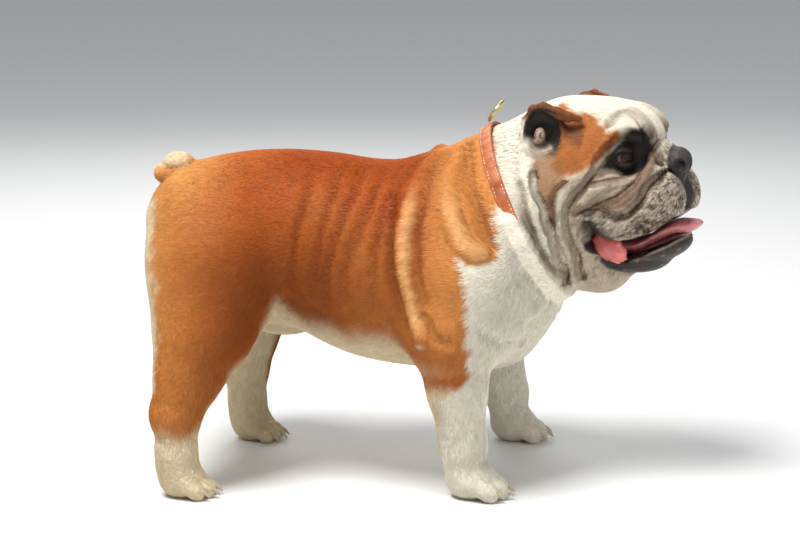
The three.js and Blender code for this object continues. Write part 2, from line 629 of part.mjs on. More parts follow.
function simplify({ points, faces }, wanted, detail) {
  const count = points.length / 3;
  const around = Array.from({ length: count }, () => []);
  const error = new Float64Array(count * 10);
  const stamp = new Int32Array(count);
  const alive = new Uint8Array(faces.length / 3).fill(1);
  let left = faces.length / 3;
  const normalOf = (a, b, c) => {
    const ux = b[0] - a[0];
    const uy = b[1] - a[1];
    const uz = b[2] - a[2];
    const wx = c[0] - a[0];
    const wy = c[1] - a[1];
    const wz = c[2] - a[2];
    return [uy * wz - uz * wy, uz * wx - ux * wz, ux * wy - uy * wx];
  };
  const at = (v) => [points[3 * v], points[3 * v + 1], points[3 * v + 2]];
  for (let f = 0; f < alive.length; f += 1) {
    const corners = [faces[3 * f], faces[3 * f + 1], faces[3 * f + 2]];
    corners.forEach((v) => around[v].push(f));
    const [a, b, c] = corners.map(at);
    const n = normalOf(a, b, c);
    const length = Math.hypot(...n);
    if (length < 1e-9) continue;
    const [x, y, z] = n.map((v) => v / length);
    const w = -(x * a[0] + y * a[1] + z * a[2]);
    const terms = [x * x, x * y, x * z, x * w, y * y, y * z, y * w, z * z, z * w, w * w];
    const weight = 0.5 * length * detail(a);
    for (const v of corners) terms.forEach((term, i) => { error[10 * v + i] += term * weight; });
  }
  const costAt = (q, [x, y, z]) => q[0] * x * x + 2 * q[1] * x * y + 2 * q[2] * x * z + 2 * q[3] * x
    + q[4] * y * y + 2 * q[5] * y * z + 2 * q[6] * y + q[7] * z * z + 2 * q[8] * z + q[9];
  const candidate = (a, b) => {
    const q = [];
    for (let i = 0; i < 10; i += 1) q.push(error[10 * a + i] + error[10 * b + i]);
    const pa = at(a);
    const pb = at(b);
    const middle = mix(pa, pb, 0.5);
    const length2 = (pa[0] - pb[0]) ** 2 + (pa[1] - pb[1]) ** 2 + (pa[2] - pb[2]) ** 2;
    const choices = [middle, pa, pb];
    const det = q[0] * (q[4] * q[7] - q[5] * q[5]) - q[1] * (q[1] * q[7] - q[5] * q[2])
      + q[2] * (q[1] * q[5] - q[4] * q[2]);
    const scale = (q[0] + q[4] + q[7]) / 3;
    if (Math.abs(det) > 1e-3 * scale ** 3) {
      const x = -(q[3] * (q[4] * q[7] - q[5] * q[5]) - q[1] * (q[6] * q[7] - q[5] * q[8])
        + q[2] * (q[6] * q[5] - q[4] * q[8])) / det;
      const y = -(q[0] * (q[6] * q[7] - q[8] * q[5]) - q[3] * (q[1] * q[7] - q[5] * q[2])
        + q[2] * (q[1] * q[8] - q[6] * q[2])) / det;
      const z = -(q[0] * (q[4] * q[8] - q[5] * q[6]) - q[1] * (q[1] * q[8] - q[6] * q[2])
        + q[3] * (q[1] * q[5] - q[4] * q[2])) / det;
      const off2 = (x - middle[0]) ** 2 + (y - middle[1]) ** 2 + (z - middle[2]) ** 2;
      if (off2 < length2) choices.unshift([x, y, z]);
    }
    let best = choices[0];
    let cost = costAt(q, best);
    for (const choice of choices) {
      const value = costAt(q, choice);
      if (value < cost) {
        cost = value;
        best = choice;
      }
    }
    return { a, b, place: best, cost: cost + SHORT_FIRST * length2 * scale, stamps: stamp[a] + stamp[b] };
  };
  const neighbours = (v) => {
    const found = new Set();
    for (const f of around[v]) {
      for (let i = 0; i < 3; i += 1) found.add(faces[3 * f + i]);
    }
    found.delete(v);
    return found;
  };
  const keepsForm = (v, other, place) => around[v].every((f) => {
    const corners = [faces[3 * f], faces[3 * f + 1], faces[3 * f + 2]];
    if (corners.includes(other)) return true;
    const before = normalOf(...corners.map(at));
    const after = normalOf(...corners.map((c) => (c === v ? place : at(c))));
    const dot = before[0] * after[0] + before[1] * after[1] + before[2] * after[2];
    const size = Math.hypot(...before) * Math.hypot(...after);
    return dot > SAME_WAY * size && Math.hypot(...after) > 1e-3;
  });
  const heap = new Heap();
  for (let v = 0; v < count; v += 1) {
    if (around[v].length) neighbours(v).forEach((n) => { if (n > v) heap.push(candidate(v, n)); });
  }
  while (left > wanted && heap.items.length) {
    const { a, b, place, stamps } = heap.pop();
    if (stamp[a] < 0 || stamp[b] < 0 || stamp[a] + stamp[b] !== stamps) continue;
    const roundA = neighbours(a);
    const roundB = neighbours(b);
    const shared = [...roundA].filter((v) => roundB.has(v));
    if (!roundA.has(b) || shared.length !== 2 || roundA.size + roundB.size < 9) continue;
    if (shared.some((v) => around[v].length < 4)) continue;
    if (!keepsForm(a, b, place) || !keepsForm(b, a, place)) continue;
    points.set(place, 3 * a);
    for (const f of around[b]) {
      const corners = [0, 1, 2].map((i) => faces[3 * f + i]);
      if (corners.includes(a)) {
        alive[f] = 0;
        left -= 1;
        corners.forEach((v) => { if (v !== b) around[v] = around[v].filter((g) => g !== f); });
      } else {
        faces[3 * f + corners.indexOf(b)] = a;
        around[a].push(f);
      }
    }
    around[b] = [];
    stamp[b] = -1;
    for (let i = 0; i < 10; i += 1) error[10 * a + i] += error[10 * b + i];
    stamp[a] += 1;
    neighbours(a).forEach((n) => heap.push(candidate(a, n)));
  }
  const used = new Map();
  const triVerts = [];
  const vertProperties = [];
  for (let f = 0; f < alive.length; f += 1) {
    if (!alive[f]) continue;
    for (let i = 0; i < 3; i += 1) {
      const v = faces[3 * f + i];
      if (!used.has(v)) {
        used.set(v, used.size);
        vertProperties.push(...at(v));
      }
      triVerts.push(used.get(v));
    }
  }
  return solidFrom(vertProperties, triVerts);
}

// Solids and cuts
function solidFrom(vertProperties, triVerts) {
  return new wasm.Manifold(new wasm.Mesh({
    numProp: 3,
    vertProperties: Float32Array.from(vertProperties),
    triVerts: Uint32Array.from(triVerts),
  }));
}

function solidOf(geometry, matrix = new THREE.Matrix4()) {
  const whole = geometry.index ? geometry.toNonIndexed() : geometry;
  const position = whole.getAttribute('position');
  const known = new Map();
  const vertProperties = [];
  const corner = [];
  const p = new THREE.Vector3();
  for (let i = 0; i < position.count; i += 1) {
    p.fromBufferAttribute(position, i).applyMatrix4(matrix);
    const key = p.toArray().map((v) => Math.round(v * 1000)).join();
    if (!known.has(key)) {
      known.set(key, known.size);
      vertProperties.push(p.x, p.y, p.z);
    }
    corner.push(known.get(key));
  }
  const triVerts = [];
  for (let i = 0; i < corner.length; i += 3) {
    const [a, b, c] = corner.slice(i, i + 3);
    if (a !== b && b !== c && a !== c) triVerts.push(a, b, c);
  }
  return solidFrom(vertProperties, triVerts);
}

function block(low, high, grow = 0, matrix = new THREE.Matrix4()) {
  const size = high.map((v, i) => v - low[i] + 2 * grow);
  const centre = high.map((v, i) => (v + low[i]) / 2);
  const geometry = new THREE.BoxGeometry(...size).translate(...centre);
  return solidOf(geometry, matrix);
}

function sphere(centre, radius) {
  return solidOf(new THREE.IcosahedronGeometry(radius, 3).translate(...centre));
}

function largestPiece(solid) {
  return solid.decompose().sort((a, b) => b.volume() - a.volume())[0];
}

// Closed skin over rings of points
function ringedSolid(rings, closed) {
  const sides = rings[0].length;
  const vertProperties = rings.flat(2);
  const triVerts = [];
  const spans = closed ? rings.length : rings.length - 1;
  for (let i = 0; i < spans; i += 1) {
    const here = i * sides;
    const next = ((i + 1) % rings.length) * sides;
    for (let k = 0; k < sides; k += 1) {
      const m = (k + 1) % sides;
      triVerts.push(here + k, here + m, next + m, here + k, next + m, next + k);
    }
  }
  if (!closed) {
    const end = (rings.length - 1) * sides;
    for (let k = 1; k < sides - 1; k += 1) {
      triVerts.push(0, k + 1, k, end, end + k, end + k + 1);
    }
  }
  return solidFrom(vertProperties, triVerts);
}

function tongueSolid(grow) {
  const sides = 14;
  const rings = TONGUE.map(([x, z, wide, high], i) => {
    const end = i === 0 || i === TONGUE.length - 1;
    const along = end ? Math.sign(i - 1) * grow : 0;
    return Array.from({ length: sides }, (_, k) => {
      const angle = 2 * Math.PI * k / sides;
      return inHead(x + along, (wide + grow) * Math.cos(angle), z + (high + grow) * Math.sin(angle));
    });
  });
  return ringedSolid(rings, false);
}

// The collar lies where its plane meets the skin of the neck
const COLLAR_TURN = turned(COLLAR_TILT.yaw, COLLAR_TILT.pitch);
const COLLAR_STEPS = 32;
const COLLAR_EASE = 10;

// Under the throat a flap of loose skin covers the collar: first and last step, depth, radius
const THROAT_FLAP = { first: 10, last: 22, deep: 5, radius: 13 };

function inCollar(along, radius, angle) {
  const p = new THREE.Vector3(along, radius * Math.sin(angle), radius * Math.cos(angle));
  p.applyMatrix4(COLLAR_TURN);
  return [p.x + COLLAR_AT[0], p.y + COLLAR_AT[1], p.z + COLLAR_AT[2]];
}

function collarRadii(field) {
  const way = new THREE.Vector3();
  const raw = Array.from({ length: COLLAR_STEPS }, (_, i) => {
    const angle = 2 * Math.PI * i / COLLAR_STEPS;
    const start = inCollar(0, 200, angle);
    way.set(0, -Math.sin(angle), -Math.cos(angle)).applyMatrix4(COLLAR_TURN);
    const point = field.hit(start, way.toArray(), 199, 1);
    return point ? Math.hypot(...point.map((v, k) => v - COLLAR_AT[k])) : 60;
  });
  let even = raw;
  for (let pass = 0; pass < COLLAR_EASE; pass += 1) {
    const last = even;
    even = last.map((v, i) => (last.at(i - 1) + 2 * v + last[(i + 1) % COLLAR_STEPS]) / 4);
  }
  return even;
}

function coverCollar(field, radii) {
  const { first, last, deep, radius } = THROAT_FLAP;
  const centre = (i) => inCollar(-2, radii[i] - deep, 2 * Math.PI * i / COLLAR_STEPS);
  for (let i = first; i < last; i += 1) field.add(cone(centre(i), centre(i + 1), radius, radius), 8);
}

function collarSolid(radii, grow) {
  const half = COLLAR_WIDTH / 2 + grow;
  const rings = radii.map((radius, i) => {
    const angle = 2 * Math.PI * i / COLLAR_STEPS;
    const inner = radius - COLLAR_THICK * 0.4 - grow;
    const outer = radius + COLLAR_THICK * 0.6 + grow;
    return [[-half, outer], [half, outer], [half, inner], [-half, inner]]
      .map(([along, r]) => inCollar(along, r, angle));
  });
  return ringedSolid(rings, true);
}

function clawSolids(foot, yaw, size) {
  return TOES.map(([across, along]) => {
    const root = new THREE.Vector3(...pawPoint(foot, yaw, size, along + 12, across * 1.08, 13));
    const tip = new THREE.Vector3(...pawPoint(foot, yaw, size, along + 22, across * 1.12, 5));
    const way = tip.clone().sub(root);
    const spin = new THREE.Quaternion().setFromUnitVectors(new THREE.Vector3(0, 1, 0), way.clone().normalize());
    const claw = new THREE.CylinderGeometry(1.1, 3.4, way.length(), 5);
    const middle = root.add(tip).multiplyScalar(0.5);
    return solidOf(claw, new THREE.Matrix4().compose(middle, spin, new THREE.Vector3(1, 1, 1)));
  });
}

// Colours and finish of each kind of surface
const FINISH = {
  tanCoat: { color: '#b4612c', roughness: 0.75, metalness: 0 },
  whiteCoat: { color: '#e6dcc6', roughness: 0.78, metalness: 0 },
  headCoat: { color: '#cbb79b', roughness: 0.76, metalness: 0 },
  earCoat: { color: '#8a4a2a', roughness: 0.76, metalness: 0 },
  eye: { color: '#24140d', roughness: 0.08, metalness: 0 },
  tongue: { color: '#d3707a', roughness: 0.35, metalness: 0 },
  leather: { color: '#c4602c', roughness: 0.55, metalness: 0 },
  brass: { color: '#c9a25a', roughness: 0.28, metalness: 1 },
};

const dog = new THREE.Group();
dog.name = 'english_bulldog';

function addPiece(name, solid, finish) {
  const { vertProperties, triVerts, numProp } = solid.getMesh();
  const position = new Float32Array(vertProperties.length / numProp * 3);
  for (let i = 0; i < position.length / 3; i += 1) {
    for (let k = 0; k < 3; k += 1) position[3 * i + k] = vertProperties[numProp * i + k];
  }
  const geometry = new THREE.BufferGeometry();
  geometry.setAttribute('position', new THREE.BufferAttribute(position, 3));
  geometry.setIndex(new THREE.BufferAttribute(Uint32Array.from(triVerts), 1));
  geometry.computeVertexNormals();
  const piece = new THREE.Mesh(geometry, new THREE.MeshStandardMaterial(FINISH[finish]));
  piece.name = name;
  dog.add(piece);
}

// More triangles where the form is small: the head, and the paws
function detailAt([x, y, z]) {
  if (x > 180 && z > 225) return 9;
  if (z < 45) return 3;
  if (x < -190 && z > 320) return 4;
  return 1;
}

const field = wholeField();
const collarPath = collarRadii(field);
coverCollar(field, collarPath);
let body = simplify(largestShell(surface(field)), BODY_TRIANGLES, detailAt);
body = body.subtract(block([-400, -400, -100], [500, 400, 0]));

// Eyes, tongue and collar
const eyes = {};
for (const [name, side] of [['right', -1], ['left', 1]]) {
  const centre = inHead(EYE_AT[0], side * EYE_AT[1], EYE_AT[2]);
  body = body.subtract(sphere(centre, EYE_RADIUS + GAP));
  eyes[name] = sphere(centre, EYE_RADIUS);
}
const tongue = tongueSolid(0);
body = body.subtract(tongueSolid(GAP));
body = body.subtract(collarSolid(collarPath, GAP));
body = largestPiece(body);

// Takes what the blocks hold out of the body, with a thin gap all round
function part(...blocks) {
  const tool = (grow) => blocks.map(([low, high, matrix]) => block(low, high, grow, matrix))
    .reduce((joined, next) => joined.add(next));
  const piece = body.intersect(tool(0));
  body = body.subtract(tool(GAP));
  return largestPiece(piece);
}

function placed(point, turn) {
  return turn.clone().setPosition(...point);
}

// A block on one side, from the middle plane outward
function sideBlock(side, [x0, z0], [x1, z1], reach, matrix) {
  return [[x0, side < 0 ? -reach : 0, z0], [x1, side < 0 ? 0 : reach, z1], matrix];
}

const limbs = {};
for (const [name, side] of [['right', -1], ['left', 1]]) {
  const shoulder = placed([120, side * 62, 206], turned(0, 10, side * -14));
  limbs[`foreleg_${name}`] = part(sideBlock(side, [-62, -260], [130, 0], 200, shoulder));
  const thigh = placed([-160, side * 40, 278], turned(0, -24, side * -6));
  const shank = placed([-160, side * 40, 176], turned());
  limbs[`hindleg_${name}`] = part(
    sideBlock(side, [-160, -130], [66, 0], 200, thigh),
    sideBlock(side, [-120, -190], [52, 0], 200, shank));
  const ear = placed(inHead(-28, side * 73, 40), headTurned(side * 10, 0, side * 10));
  limbs[`ear_${name}`] = part(sideBlock(side, [-36, -27], [38, 50], 60, ear));
}
const tailPiece = part([[-32, -29, 0], [38, 24, 80], placed([-224, 0, 343], turned(0, 37))]);
const headPiece = part([[0, -200, -200], [300, 200, 200],
  placed([212, 0, 335], turned(HEAD_YAW * 0.6, 14))]);
const neckPiece = part([[0, -200, -130], [200, 200, 200],
  placed([COLLAR_AT[0] - 14, 0, COLLAR_AT[2]], COLLAR_TURN)]);

for (const [name, foot, yaw, size] of [
  ['foreleg_right', FORE_FEET.right, 0, FORE_PAW], ['foreleg_left', FORE_FEET.left, 8, FORE_PAW],
  ['hindleg_right', HIND_FEET.right, 0, HIND_PAW], ['hindleg_left', HIND_FEET.left, 0, HIND_PAW],
]) {
  for (const claw of clawSolids(foot, yaw, size)) limbs[name] = limbs[name].add(claw);
}

// The ring lies forward on the nape from the top of the collar
const ringTurn = COLLAR_TURN.clone().multiply(turned(0, RING_LIFT));
const ringAt = inCollar(COLLAR_WIDTH / 2 + RING_RADIUS * 0.6, collarPath[0] + RING_RADIUS * 0.92, 0);
const ring = solidOf(new THREE.TorusGeometry(RING_RADIUS, RING_WIRE, 8, 20), placed(ringAt, ringTurn));

addPiece('torso', largestPiece(body), 'tanCoat');
addPiece('neck', neckPiece, 'whiteCoat');
addPiece('head', headPiece, 'headCoat');
addPiece('tail', tailPiece, 'whiteCoat');
for (const [name, solid] of Object.entries(limbs)) {
  addPiece(name, largestPiece(solid), name.startsWith('ear') ? 'earCoat' : 'whiteCoat');
}
addPiece('eye_right', eyes.right, 'eye');
addPiece('eye_left', eyes.left, 'eye');
addPiece('tongue', tongue, 'tongue');
addPiece('collar', collarSolid(collarPath, 0), 'leather');
addPiece('collar_ring', ring, 'brass');

// Origin under the middle of the dog, on the floor
const bounds = new THREE.Box3().setFromObject(dog);
const middle = bounds.getCenter(new THREE.Vector3());
dog.position.set(-middle.x, -middle.y, -bounds.min.z);
dog.updateMatrixWorld(true);

export default dog;
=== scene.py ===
"""English bulldog in a show pose: one skin with folds and markings, a short coat, eyes, mouth, collar."""
import math
import bpy
import numpy as np
from mathutils import Matrix, Vector


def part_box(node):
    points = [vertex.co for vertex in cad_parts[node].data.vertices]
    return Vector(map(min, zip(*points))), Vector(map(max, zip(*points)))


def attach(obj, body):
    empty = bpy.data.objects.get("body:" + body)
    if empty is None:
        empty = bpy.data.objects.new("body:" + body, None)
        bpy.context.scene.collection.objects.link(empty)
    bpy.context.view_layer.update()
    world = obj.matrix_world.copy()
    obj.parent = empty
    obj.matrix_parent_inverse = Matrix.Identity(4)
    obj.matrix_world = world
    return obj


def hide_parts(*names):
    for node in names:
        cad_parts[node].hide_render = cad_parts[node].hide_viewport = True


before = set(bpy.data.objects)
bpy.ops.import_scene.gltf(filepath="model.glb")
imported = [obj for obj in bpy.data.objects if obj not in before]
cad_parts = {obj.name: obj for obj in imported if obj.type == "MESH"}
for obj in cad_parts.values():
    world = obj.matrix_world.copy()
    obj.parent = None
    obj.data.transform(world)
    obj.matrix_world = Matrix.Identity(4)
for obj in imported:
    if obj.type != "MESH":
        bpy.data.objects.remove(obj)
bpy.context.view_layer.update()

MM = 0.001
FAR = 30.0
DETAIL = 1.0
COARSE_STEP = 3.0
CROSS_STEP = 2.4
FINE_STEP = 1.7

# Driving sizes in millimetres, in the design frame: origin on the floor, +X ahead, +Z up
HEAD_AT = np.array([255.0, 0.0, 365.0])
HEAD_YAW = -17.0
EYE_AT = np.array([53.0, 45.0, 12.0])
EYE_RADIUS = 12.0
EYE_WAY = np.array([0.78, 0.60, 0.10])
FORE_FEET = {-1: (143.0, -106.0), 1: (173.0, 150.0)}
HIND_FEET = {-1: (-178.0, -140.0), 1: (-147.0, 112.0)}
FORE_PAW = 0.94
HIND_PAW = 0.84
FAR_PAW_YAW = 8
COLLAR_AT = np.array([166.0, 0.0, 350.0])
COLLAR_YAW = -5.0
COLLAR_PITCH = 26.0
COLLAR_WIDTH = 15.0
COLLAR_THICK = 4.0
COAT_DEPTH = 2.0
SOLE = 0.2

# Body along X: place, top, bottom, half width
TRUNK = [
    (-254, 305, 268, 16), (-245, 324, 240, 46), (-226, 344, 200, 76), (-190, 361, 176, 95),
    (-140, 371, 170, 101), (-90, 374, 171, 100), (-40, 371, 162, 109), (10, 364, 148, 121),
    (45, 364, 138, 132), (80, 370, 129, 139), (115, 376, 124, 139), (150, 378, 126, 130),
    (183, 374, 138, 112), (204, 352, 163, 86), (221, 320, 195, 50)]

# Loose folds of the body: points (x, z) seen from the side, radius, rise over the surface
BODY_RIDGE = [(91, 390), (70, 349), (60, 305), (62, 262), (70, 229), (81, 190)]
NECK_RIDGE = [(118, 392), (108, 357), (113, 319), (129, 291), (145, 281)]
BODY_FOLDS = [
    (BODY_RIDGE, 13, 6), (NECK_RIDGE, 13, 6),
    ([(188, 392), (192, 350), (204, 310), (222, 262)], 12, 4),
    ([(195, 288), (214, 250), (212, 222), (194, 206)], 14, 4)]
# Creases of the body: points (x, z), radius, depth
BODY_CREASES = [
    ([(82, 382), (50, 350), (44, 305), (46, 262), (54, 229), (66, 190)], 5, 2.5),
    ([(104, 386), (86, 350), (77, 305), (79, 262), (87, 229)], 5, 2),
    ([(122, 388), (131, 354), (142, 329), (149, 308), (162, 284)], 5, 4),
    ([(85, 215), (98, 193), (114, 187)], 5, 2.5), ([(149, 195), (168, 180), (188, 172)], 5, 2)]
# Ripples over the ribs: points (x, z)
RIB_RIPPLES = [
    [(44, 360), (35, 322), (28, 280), (26, 240), (30, 210)],
    [(32, 360), (14, 316), (2, 287), (-6, 250), (-4, 220)],
    [(6, 360), (-13, 308), (-23, 274), (-28, 240), (-28, 215)],
    [(-20, 358), (-34, 300), (-39, 267), (-43, 225)], [(-50, 358), (-64, 300), (-70, 255), (-72, 230)]]
RIPPLE_RADIUS = 11
RIPPLE_DEPTH = 2.2
# Folds of the face in the head's own frame: points (x, z), radius, rise
CHEEK_ROLL = [
    (42, 29), (36, 9), (22, -2), (8, -12), (1, -26), (2, -42), (3, -58), (6, -74), (8, -91), (6, -110),
    (6, -126)]
UNDER_EYE_ROLL = [(62, -8), (45, -12), (32, -20), (22, -31), (16, -43), (14, -55), (13, -73)]
TEAR_ROLL = [(80, 15), (81, -3), (74, -21), (63, -31), (52, -36), (41, -37)]
THROAT_ROLL = [(-34, -7), (-29, -22), (-25, -37), (-20, -50), (-15, -66), (-9, -85), (-4, -104)]
HEAD_FOLDS = [(CHEEK_ROLL, 10, 7), (UNDER_EYE_ROLL, 8, 6), (TEAR_ROLL, 8, 5), (THROAT_ROLL, 12, 6)]
# Creases of the face: points (x, z), radius, depth
HEAD_CREASES = [
    ([(44, 16), (40, 9), (35, -3), (27, -12), (18, -24), (12, -33), (10, -42), (9, -54), (10, -68),
      (13, -78), (16, -91), (12, -109), (11, -127)], 2.6, 5),
    ([(8, -10), (-3, -21), (-7, -35), (-6, -50), (-5, -65), (-3, -79), (-1, -94), (-1, -113),
      (-6, -132)], 2.6, 4.5),
    ([(-27, -1), (-23, -16), (-18, -27), (-13, -39), (-10, -52), (-6, -65)], 2.6, 4.5),
    ([(-41, -13), (-36, -28), (-32, -47), (-26, -65), (-19, -84), (-12, -101), (-5, -118)], 3, 2.5),
    ([(80, 26), (76, 12), (74, -4), (71, -11), (65, -18), (55, -27), (42, -32), (29, -40),
      (18, -46)], 2.4, 5),
    ([(101, 0), (96, -7), (91, -13), (87, -18), (84, -27), (79, -35), (71, -44), (59, -49), (51, -46),
      (37, -41), (24, -42)], 2.6, 5.5),
    ([(30, -11), (44, -9), (54, -8), (64, -7), (70, -3)], 1.8, 3),
    ([(77, -56), (80, -63), (88, -67), (100, -66), (112, -58)], 2, 3),
    ([(86, -55), (98, -57), (110, -49)], 2, 1.6),
    ([(36, 10), (42, 22), (51, 31), (60, 38), (68, 42), (76, 38)], 1.8, 3.2),
    ([(42, 50), (48, 61), (57, 64), (70, 58), (78, 48), (82, 36), (82, 28)], 2.6, 3.4),
    ([(88, 30), (87, 24), (84, 18)], 2, 1.5)]

# Mouth in the head's own frame: x, z, half gap
MOUTH = [
    (25, -62, 4), (30, -76, 8), (40, -88, 11), (55, -92, 10), (72, -87, 8),
    (96, -75, 7.5), (114, -62, 9), (132, -56, 12)]
# Tongue: x, z, half width, half thickness
TONGUE = [
    (20, -88, 16, 7), (60, -90, 26, 8), (86, -77, 26, 9), (104, -67, 25, 9), (120, -65, 21, 8),
    (132, -62, 12, 4)]
# Creases of the nose: points (x, y, z) behind the wings, and (x, z) down the middle
NOSE_SIDE = [(93, 21, 25), (91, 26, 14), (91, 28, 2)]
NOSE_GROOVE = [(119, 18), (121, 8), (119, -6), (116, -16), (111, -30)]
EAR_CUP = (-26, 88, 42)
EAR_CUP_RADII = (20, 17, 23)
EAR_LUMP = (-31, 78, 36)
# Toes: across and along the paw
TOES = [(-23, 8), (-8.5, 18), (8.5, 18), (23, 8)]
# Balls on each side of the body: centre, radii, pitch, softness
BODY_BALLS = [
    ((98, 92, 258), (60, 50, 92), 15, 30), ((138, 86, 205), (48, 50, 60), 0, 25),
    ((-172, 60, 262), (66, 55, 84), -10, 30), ((30, 60, 240), (110, 66, 90), 0, 40)]
# Balls on each side of the head, in its own frame: centre, radii, yaw, softness
HEAD_BALLS = [
    ((50, 31, 43), (28, 26, 22), 15, 12), ((63, 38, 37), (18, 18, 16), 0, 10),
    ((-4, 60, -24), (50, 32, 58), 0, 20), ((22, 58, -52), (36, 28, 44), 0, 15),
    ((76, 31, -34), (46, 36, 42), -8, 10), ((52, 50, -46), (40, 26, 34), -20, 12)]
SIDES = (("right", -1), ("left", 1))


# Small vector helpers
def turned(yaw=0.0, pitch=0.0):
    """Matrix whose columns are the turned axes; pitch lifts +X."""
    a, b = np.radians([yaw, -pitch])
    about_z = np.array([[math.cos(a), -math.sin(a), 0], [math.sin(a), math.cos(a), 0], [0, 0, 1]])
    about_y = np.array([[math.cos(b), 0, math.sin(b)], [0, 1, 0], [-math.sin(b), 0, math.cos(b)]])
    return about_z @ about_y


HEAD_TURN = turned(HEAD_YAW)
COLLAR_TURN = turned(COLLAR_YAW, COLLAR_PITCH)


def in_head(*p):
    return HEAD_AT + HEAD_TURN @ np.array(p, float)


def to_head(points):
    return (np.atleast_2d(points) - HEAD_AT) @ HEAD_TURN


def unit(v):
    v = np.asarray(v, float)
    return v / np.maximum(np.linalg.norm(v, axis=-1, keepdims=True), 1e-9)


def step(x, low, high):
    """Smooth step from 0 at low to 1 at high."""
    t = np.clip((x - low) / (high - low), 0, 1)
    return t * t * (3 - 2 * t)


def blend(a, b, t):
    t = np.asarray(t)[..., None]
    return a * (1 - t) + b * t


def pairs(items):
    """Each item with the next one."""
    return zip(items[:-1], items[1:])


def full_turn(count):
    """Angles all the way round, without the last one that equals the first."""
    return np.linspace(0, 2 * math.pi, count, endpoint=False)


def smooth_path(points, count):
    """Catmull-Rom curve through the points."""
    p = np.array(points, float)
    p = np.vstack([2 * p[0] - p[1], p, 2 * p[-1] - p[-2]])
    spans = len(p) - 3
    out = []
    for u in np.linspace(0, spans, count):
        i = min(int(u), spans - 1)
        t = u - i
        a, b, c, d = p[i:i + 4]
        out.append(0.5 * (2 * b + (c - a) * t + (2 * a - 5 * b + 4 * c - d) * t * t
                          + (3 * b - a - 3 * c + d) * t ** 3))
    return np.array(out)


CORNERS = [np.array([(c >> i) & 1 for i in range(3)]) for c in range(8)]


def between(grid, low, part, wrap=None):
    """Values between the points of a grid, from the lowest corner and the share of the way to the next."""
    total = 0
    for bits in CORNERS:
        weight = np.prod([part[i] if bits[i] else 1 - part[i] for i in range(3)], axis=0)
        at = [low[i] + bits[i] for i in range(3)]
        if wrap:
            at = [k % wrap for k in at]
        total = total + weight * grid[at[0], at[1], at[2]]
    return total


class Noise:
    """Smooth value noise in three dimensions."""
    def __init__(self, seed, cells=32):
        self.cells = cells
        self.lattice = np.random.default_rng(seed).random((cells,) * 3).astype(np.float32)

    def __call__(self, points, size):
        q = np.asarray(points) / size
        low = np.floor(q).astype(int)
        f = q - low
        f = f * f * (3 - 2 * f)
        return between(self.lattice, low.T, f.T, self.cells) * 2 - 1

    def many(self, points, size, octaves=3):
        return sum(self(points + 17.3 * k, size / 2 ** k) / 2 ** k for k in range(octaves))


noise = Noise(11)


# Shapes by distance
class Ball:
    def __init__(self, centre, radii, turn=None):
        self.centre = np.array(centre, float)
        self.radii = np.array(radii, float) * np.ones(3)
        self.turn = np.eye(3) if turn is None else turn
        reach = np.sqrt(((self.turn * self.radii) ** 2).sum(1))
        self.low, self.high = self.centre - reach, self.centre + reach

    def distance(self, x, y, z):
        x, y, z = x - self.centre[0], y - self.centre[1], z - self.centre[2]
        t, r = self.turn, self.radii
        q = [(x * t[0, i] + y * t[1, i] + z * t[2, i]) / r[i] for i in range(3)]
        near = np.sqrt(q[0] ** 2 + q[1] ** 2 + q[2] ** 2)
        slope = np.sqrt((q[0] / r[0]) ** 2 + (q[1] / r[1]) ** 2 + (q[2] / r[2]) ** 2)
        return near * (near - 1) / np.maximum(slope, 1e-9)


class Cone:
    """Round cone; flat above 1 widens it along side."""
    def __init__(self, a, b, radius_a, radius_b, side=None, flat=1.0):
        self.a, self.b = np.array(a, float), np.array(b, float)
        self.radius_a, self.radius_b = radius_a, radius_b
        self.side, self.flat = side, flat
        spread = max(radius_a, radius_b) * (flat - 1)
        self.low = np.minimum(self.a - radius_a, self.b - radius_b) - spread
        self.high = np.maximum(self.a + radius_a, self.b + radius_b) + spread

    def distance(self, x, y, z):
        p = [x - self.a[0], y - self.a[1], z - self.a[2]]
        axis = self.b - self.a
        if self.side is not None:
            n, squeeze = self.side, 1 / self.flat - 1
            along = (p[0] * n[0] + p[1] * n[1] + p[2] * n[2]) * squeeze
            p = [p[i] + along * n[i] for i in range(3)]
            axis = axis + n * (axis @ n) * squeeze
        length2 = axis @ axis
        drop = self.radius_a - self.radius_b
        slope2 = length2 - drop * drop
        along = p[0] * axis[0] + p[1] * axis[1] + p[2] * axis[2]
        past = along - length2
        off2 = sum((p[i] * length2 - axis[i] * along) ** 2 for i in range(3))
        along2, past2 = along * along * length2, past * past * length2
        limit = np.sign(drop) * drop * drop * off2
        d = (np.sqrt(np.maximum(off2 * slope2 / length2, 0)) + along * drop) / length2 - self.radius_a
        d = np.where(np.sign(past) * slope2 * past2 > limit,
                     np.sqrt(off2 + past2) / length2 - self.radius_b, d)
        return np.where(np.sign(along) * slope2 * along2 < limit,
                        np.sqrt(off2 + along2) / length2 - self.radius_a, d)


